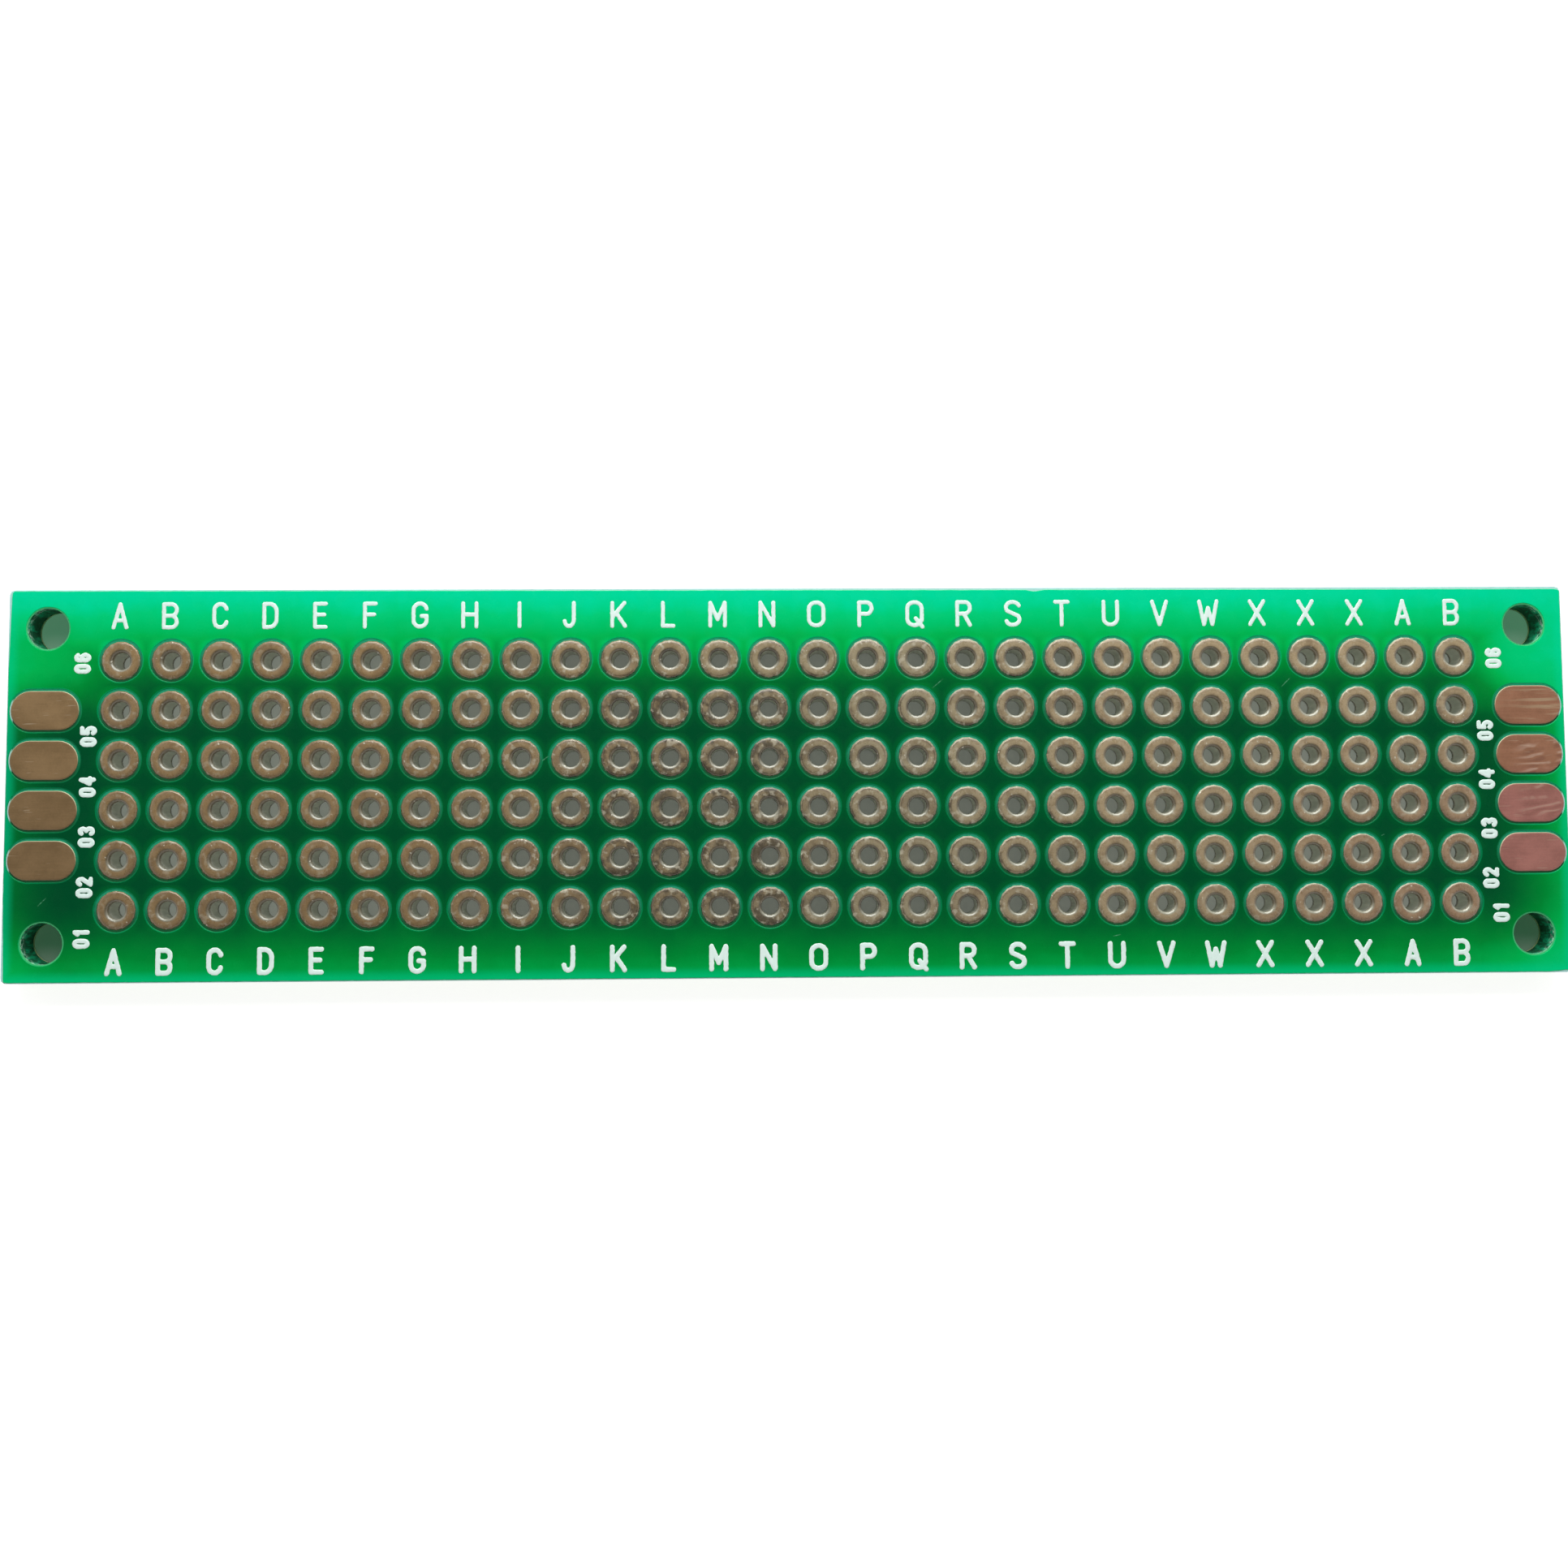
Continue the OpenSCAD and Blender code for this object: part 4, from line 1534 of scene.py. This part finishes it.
# Colours of the floor in its own light and in the lamp's, from 0 to 1, away from the board and
# under it. Under the board the floor is painted dark as shade, and its own light is a painted
# glow that shows through the holes: paler at the ends, green in the mounting holes, and darker
# at the front corners than at the back.
FLOOR_OPEN, FLOOR_SHADE_UNDER_BOARD = (0.9, 0.9, 0.9), (0.25, 0.25, 0.25)
HOLE_GLOW_MIDDLE, HOLE_GLOW_ENDS = (0.5, 0.55, 0.46), (0.8, 0.88, 0.74)
HOLE_GLOW_FRONT_CORNER, HOLE_GLOW_BACK_CORNER = (0.11, 0.35, 0.17), (0.27, 0.83, 0.45)

# The panel's width, height, distance from the middle of the board and height over the floor
WINDOW_WIDTH, WINDOW_HEIGHT, WINDOW_Y, WINDOW_FOOT = 0.15, 0.16, 0.115, 0.012
WINDOW_LIGHT = 4.0

CAMERA_LENS = 33.0
CAMERA_PLACE = (-1.97 * MM, -4.35 * MM, 75 * MM)
CAMERA_TURN = (3.304, -1.109, -0.357)
CAMERA_CLIP = (0.005, 20.0)


def emptied_tree(owner):
    """The node tree of a material or a world, with nothing in it."""
    owner.use_nodes = True
    owner.node_tree.nodes.clear()
    return Nodes(owner.node_tree)


def seen_straight(nodes):
    """1 for what the camera sees directly, in a mirror or through glass."""
    path = nodes.add("ShaderNodeLightPath").outputs
    seen = nodes.greatest(path["Is Camera Ray"], path["Is Glossy Ray"])
    return nodes.greatest(seen, path["Is Transmission Ray"])


def make_floor():
    """A white floor just under the board. It keeps the board's shadow; under the board it is
    painted dark as shade and glows with painted light that shows through the holes.
    """
    half = stage_sizes().floor_half
    corners = ((-half, -half), (half, -half), (half, half), (-half, half))
    floor = new_object("floor", [(x, y, -FLOOR_DROP) for x, y in corners], [(0, 1, 2, 3)])
    material = bpy.data.materials.new("floor_white")
    nodes = emptied_tree(material)
    x, y, _ = nodes.axes(nodes.place())
    along = abs(x)
    # Painted shade on the floor under the board, and a painted glow there that shows through the
    # holes
    under = edge_distance(nodes, x, y).ramp(0.2, 0.6)
    plain = nodes.mix(under, FLOOR_OPEN, FLOOR_SHADE_UNDER_BOARD)
    corner = nodes.mix(y.ramp(-2.0, 2.0), HOLE_GLOW_FRONT_CORNER, HOLE_GLOW_BACK_CORNER)
    tint = nodes.mix(along.ramp(8.0, 32.0), HOLE_GLOW_MIDDLE, HOLE_GLOW_ENDS)
    tint = nodes.mix(along.ramp(35.5, 36.5), tint, corner)
    tint = nodes.mix(under, WHITE, tint)
    lift = seen_straight(nodes) * under.ramp(0.0, 1.0, 0.7, 0.2)
    diffuse = nodes.add("ShaderNodeBsdfDiffuse", {"Color": plain})
    glow = nodes.add("ShaderNodeEmission", {"Color": tint, "Strength": lift})
    both = nodes.add("ShaderNodeAddShader", {0: diffuse.outputs[0], 1: glow.outputs[0]})
    nodes.add("ShaderNodeOutputMaterial", {"Surface": both.outputs[0]})
    floor.data.materials.append(material)


def make_surroundings(scene):
    """Pale walls all round, and a dim ceiling that the glossy mask mirrors towards the camera."""
    scene.world = bpy.data.worlds.new("studio")
    nodes = emptied_tree(scene.world)
    height = nodes.axes(nodes.add("ShaderNodeTexCoord").outputs["Generated"])[2]
    wall = height.ramp(0.45, 0.85, 0.9, 0.03)
    seen = height.ramp(0.3, 0.8, 1.0, 0.02) * seen_straight(nodes)
    inputs = {"Color": (*WHITE, 1.0), "Strength": nodes.greatest(wall, seen)}
    light = nodes.add("ShaderNodeBackground", inputs)
    nodes.add("ShaderNodeOutputWorld", {"Surface": light.outputs[0]})


def make_window(scene):
    """A tall soft panel at the +Y side, close to the board, which lights the rims and knees."""
    lamp = bpy.data.lights.new("window", "AREA")
    lamp.shape = "RECTANGLE"
    lamp.size, lamp.size_y = WINDOW_WIDTH, WINDOW_HEIGHT
    area = math.pi * WINDOW_WIDTH * WINDOW_HEIGHT
    lamp.energy = stage_sizes().window_strength * area * WINDOW_LIGHT
    made = bpy.data.objects.new("window", lamp)
    made.location = (0.0, WINDOW_Y, WINDOW_HEIGHT / 2 + WINDOW_FOOT)
    made.rotation_euler = (math.radians(-90), 0.0, 0.0)
    made.visible_camera = False
    scene.collection.objects.link(made)


def make_camera(scene):
    """Close above the board, leaning a little towards its -Y edge."""
    data = bpy.data.cameras.new("camera")
    data.lens = CAMERA_LENS
    data.clip_start, data.clip_end = CAMERA_CLIP
    made = bpy.data.objects.new("camera", data)
    made.location = CAMERA_PLACE
    made.rotation_euler = [math.radians(angle) for angle in CAMERA_TURN]
    scene.collection.objects.link(made)
    scene.camera = made


# ---------------------------------------------------------------------------------------------
# Panel and registration
# ---------------------------------------------------------------------------------------------

PROPERTY_GROUPS = {
    "board_sizes": BoardSizes,
    "board_legend": LegendSizes,
    "board_colours": BoardColours,
    "board_stage": StageSizes,
}
PIECE_OPERATORS = (
    BOARD_OT_laminate,
    BOARD_OT_mask_films,
    BOARD_OT_plated_holes,
    BOARD_OT_end_pads,
    BOARD_OT_legend,
    BOARD_OT_stage,
)


class BOARD_PT_board(Panel):
    """Lists the board's pieces and their sizes"""

    bl_label = "Prototype board"
    bl_idname = "BOARD_PT_board"
    bl_space_type = "VIEW_3D"
    bl_region_type = "UI"
    bl_category = "Board"

    def draw(self, context):
        layout = self.layout
        for made in PIECE_OPERATORS:
            layout.operator(made.bl_idname)
        for name, group in PROPERTY_GROUPS.items():
            box = layout.box()
            for key in group.__annotations__:
                box.prop(getattr(context.scene, name), key)


CLASSES = (*PROPERTY_GROUPS.values(), *PIECE_OPERATORS, BOARD_PT_board)


def register():
    for made in CLASSES:
        bpy.utils.register_class(made)
    for name, group in PROPERTY_GROUPS.items():
        setattr(bpy.types.Scene, name, PointerProperty(type=group))


def unregister():
    for name in PROPERTY_GROUPS:
        delattr(bpy.types.Scene, name)
    for made in reversed(CLASSES):
        bpy.utils.unregister_class(made)


def main():
    register()
    bpy.ops.board.laminate()
    bpy.ops.board.mask_films()
    bpy.ops.board.plated_holes()
    bpy.ops.board.end_pads()
    bpy.ops.board.legend()
    bpy.ops.board.stage()


if __name__ == "__main__":
    main()
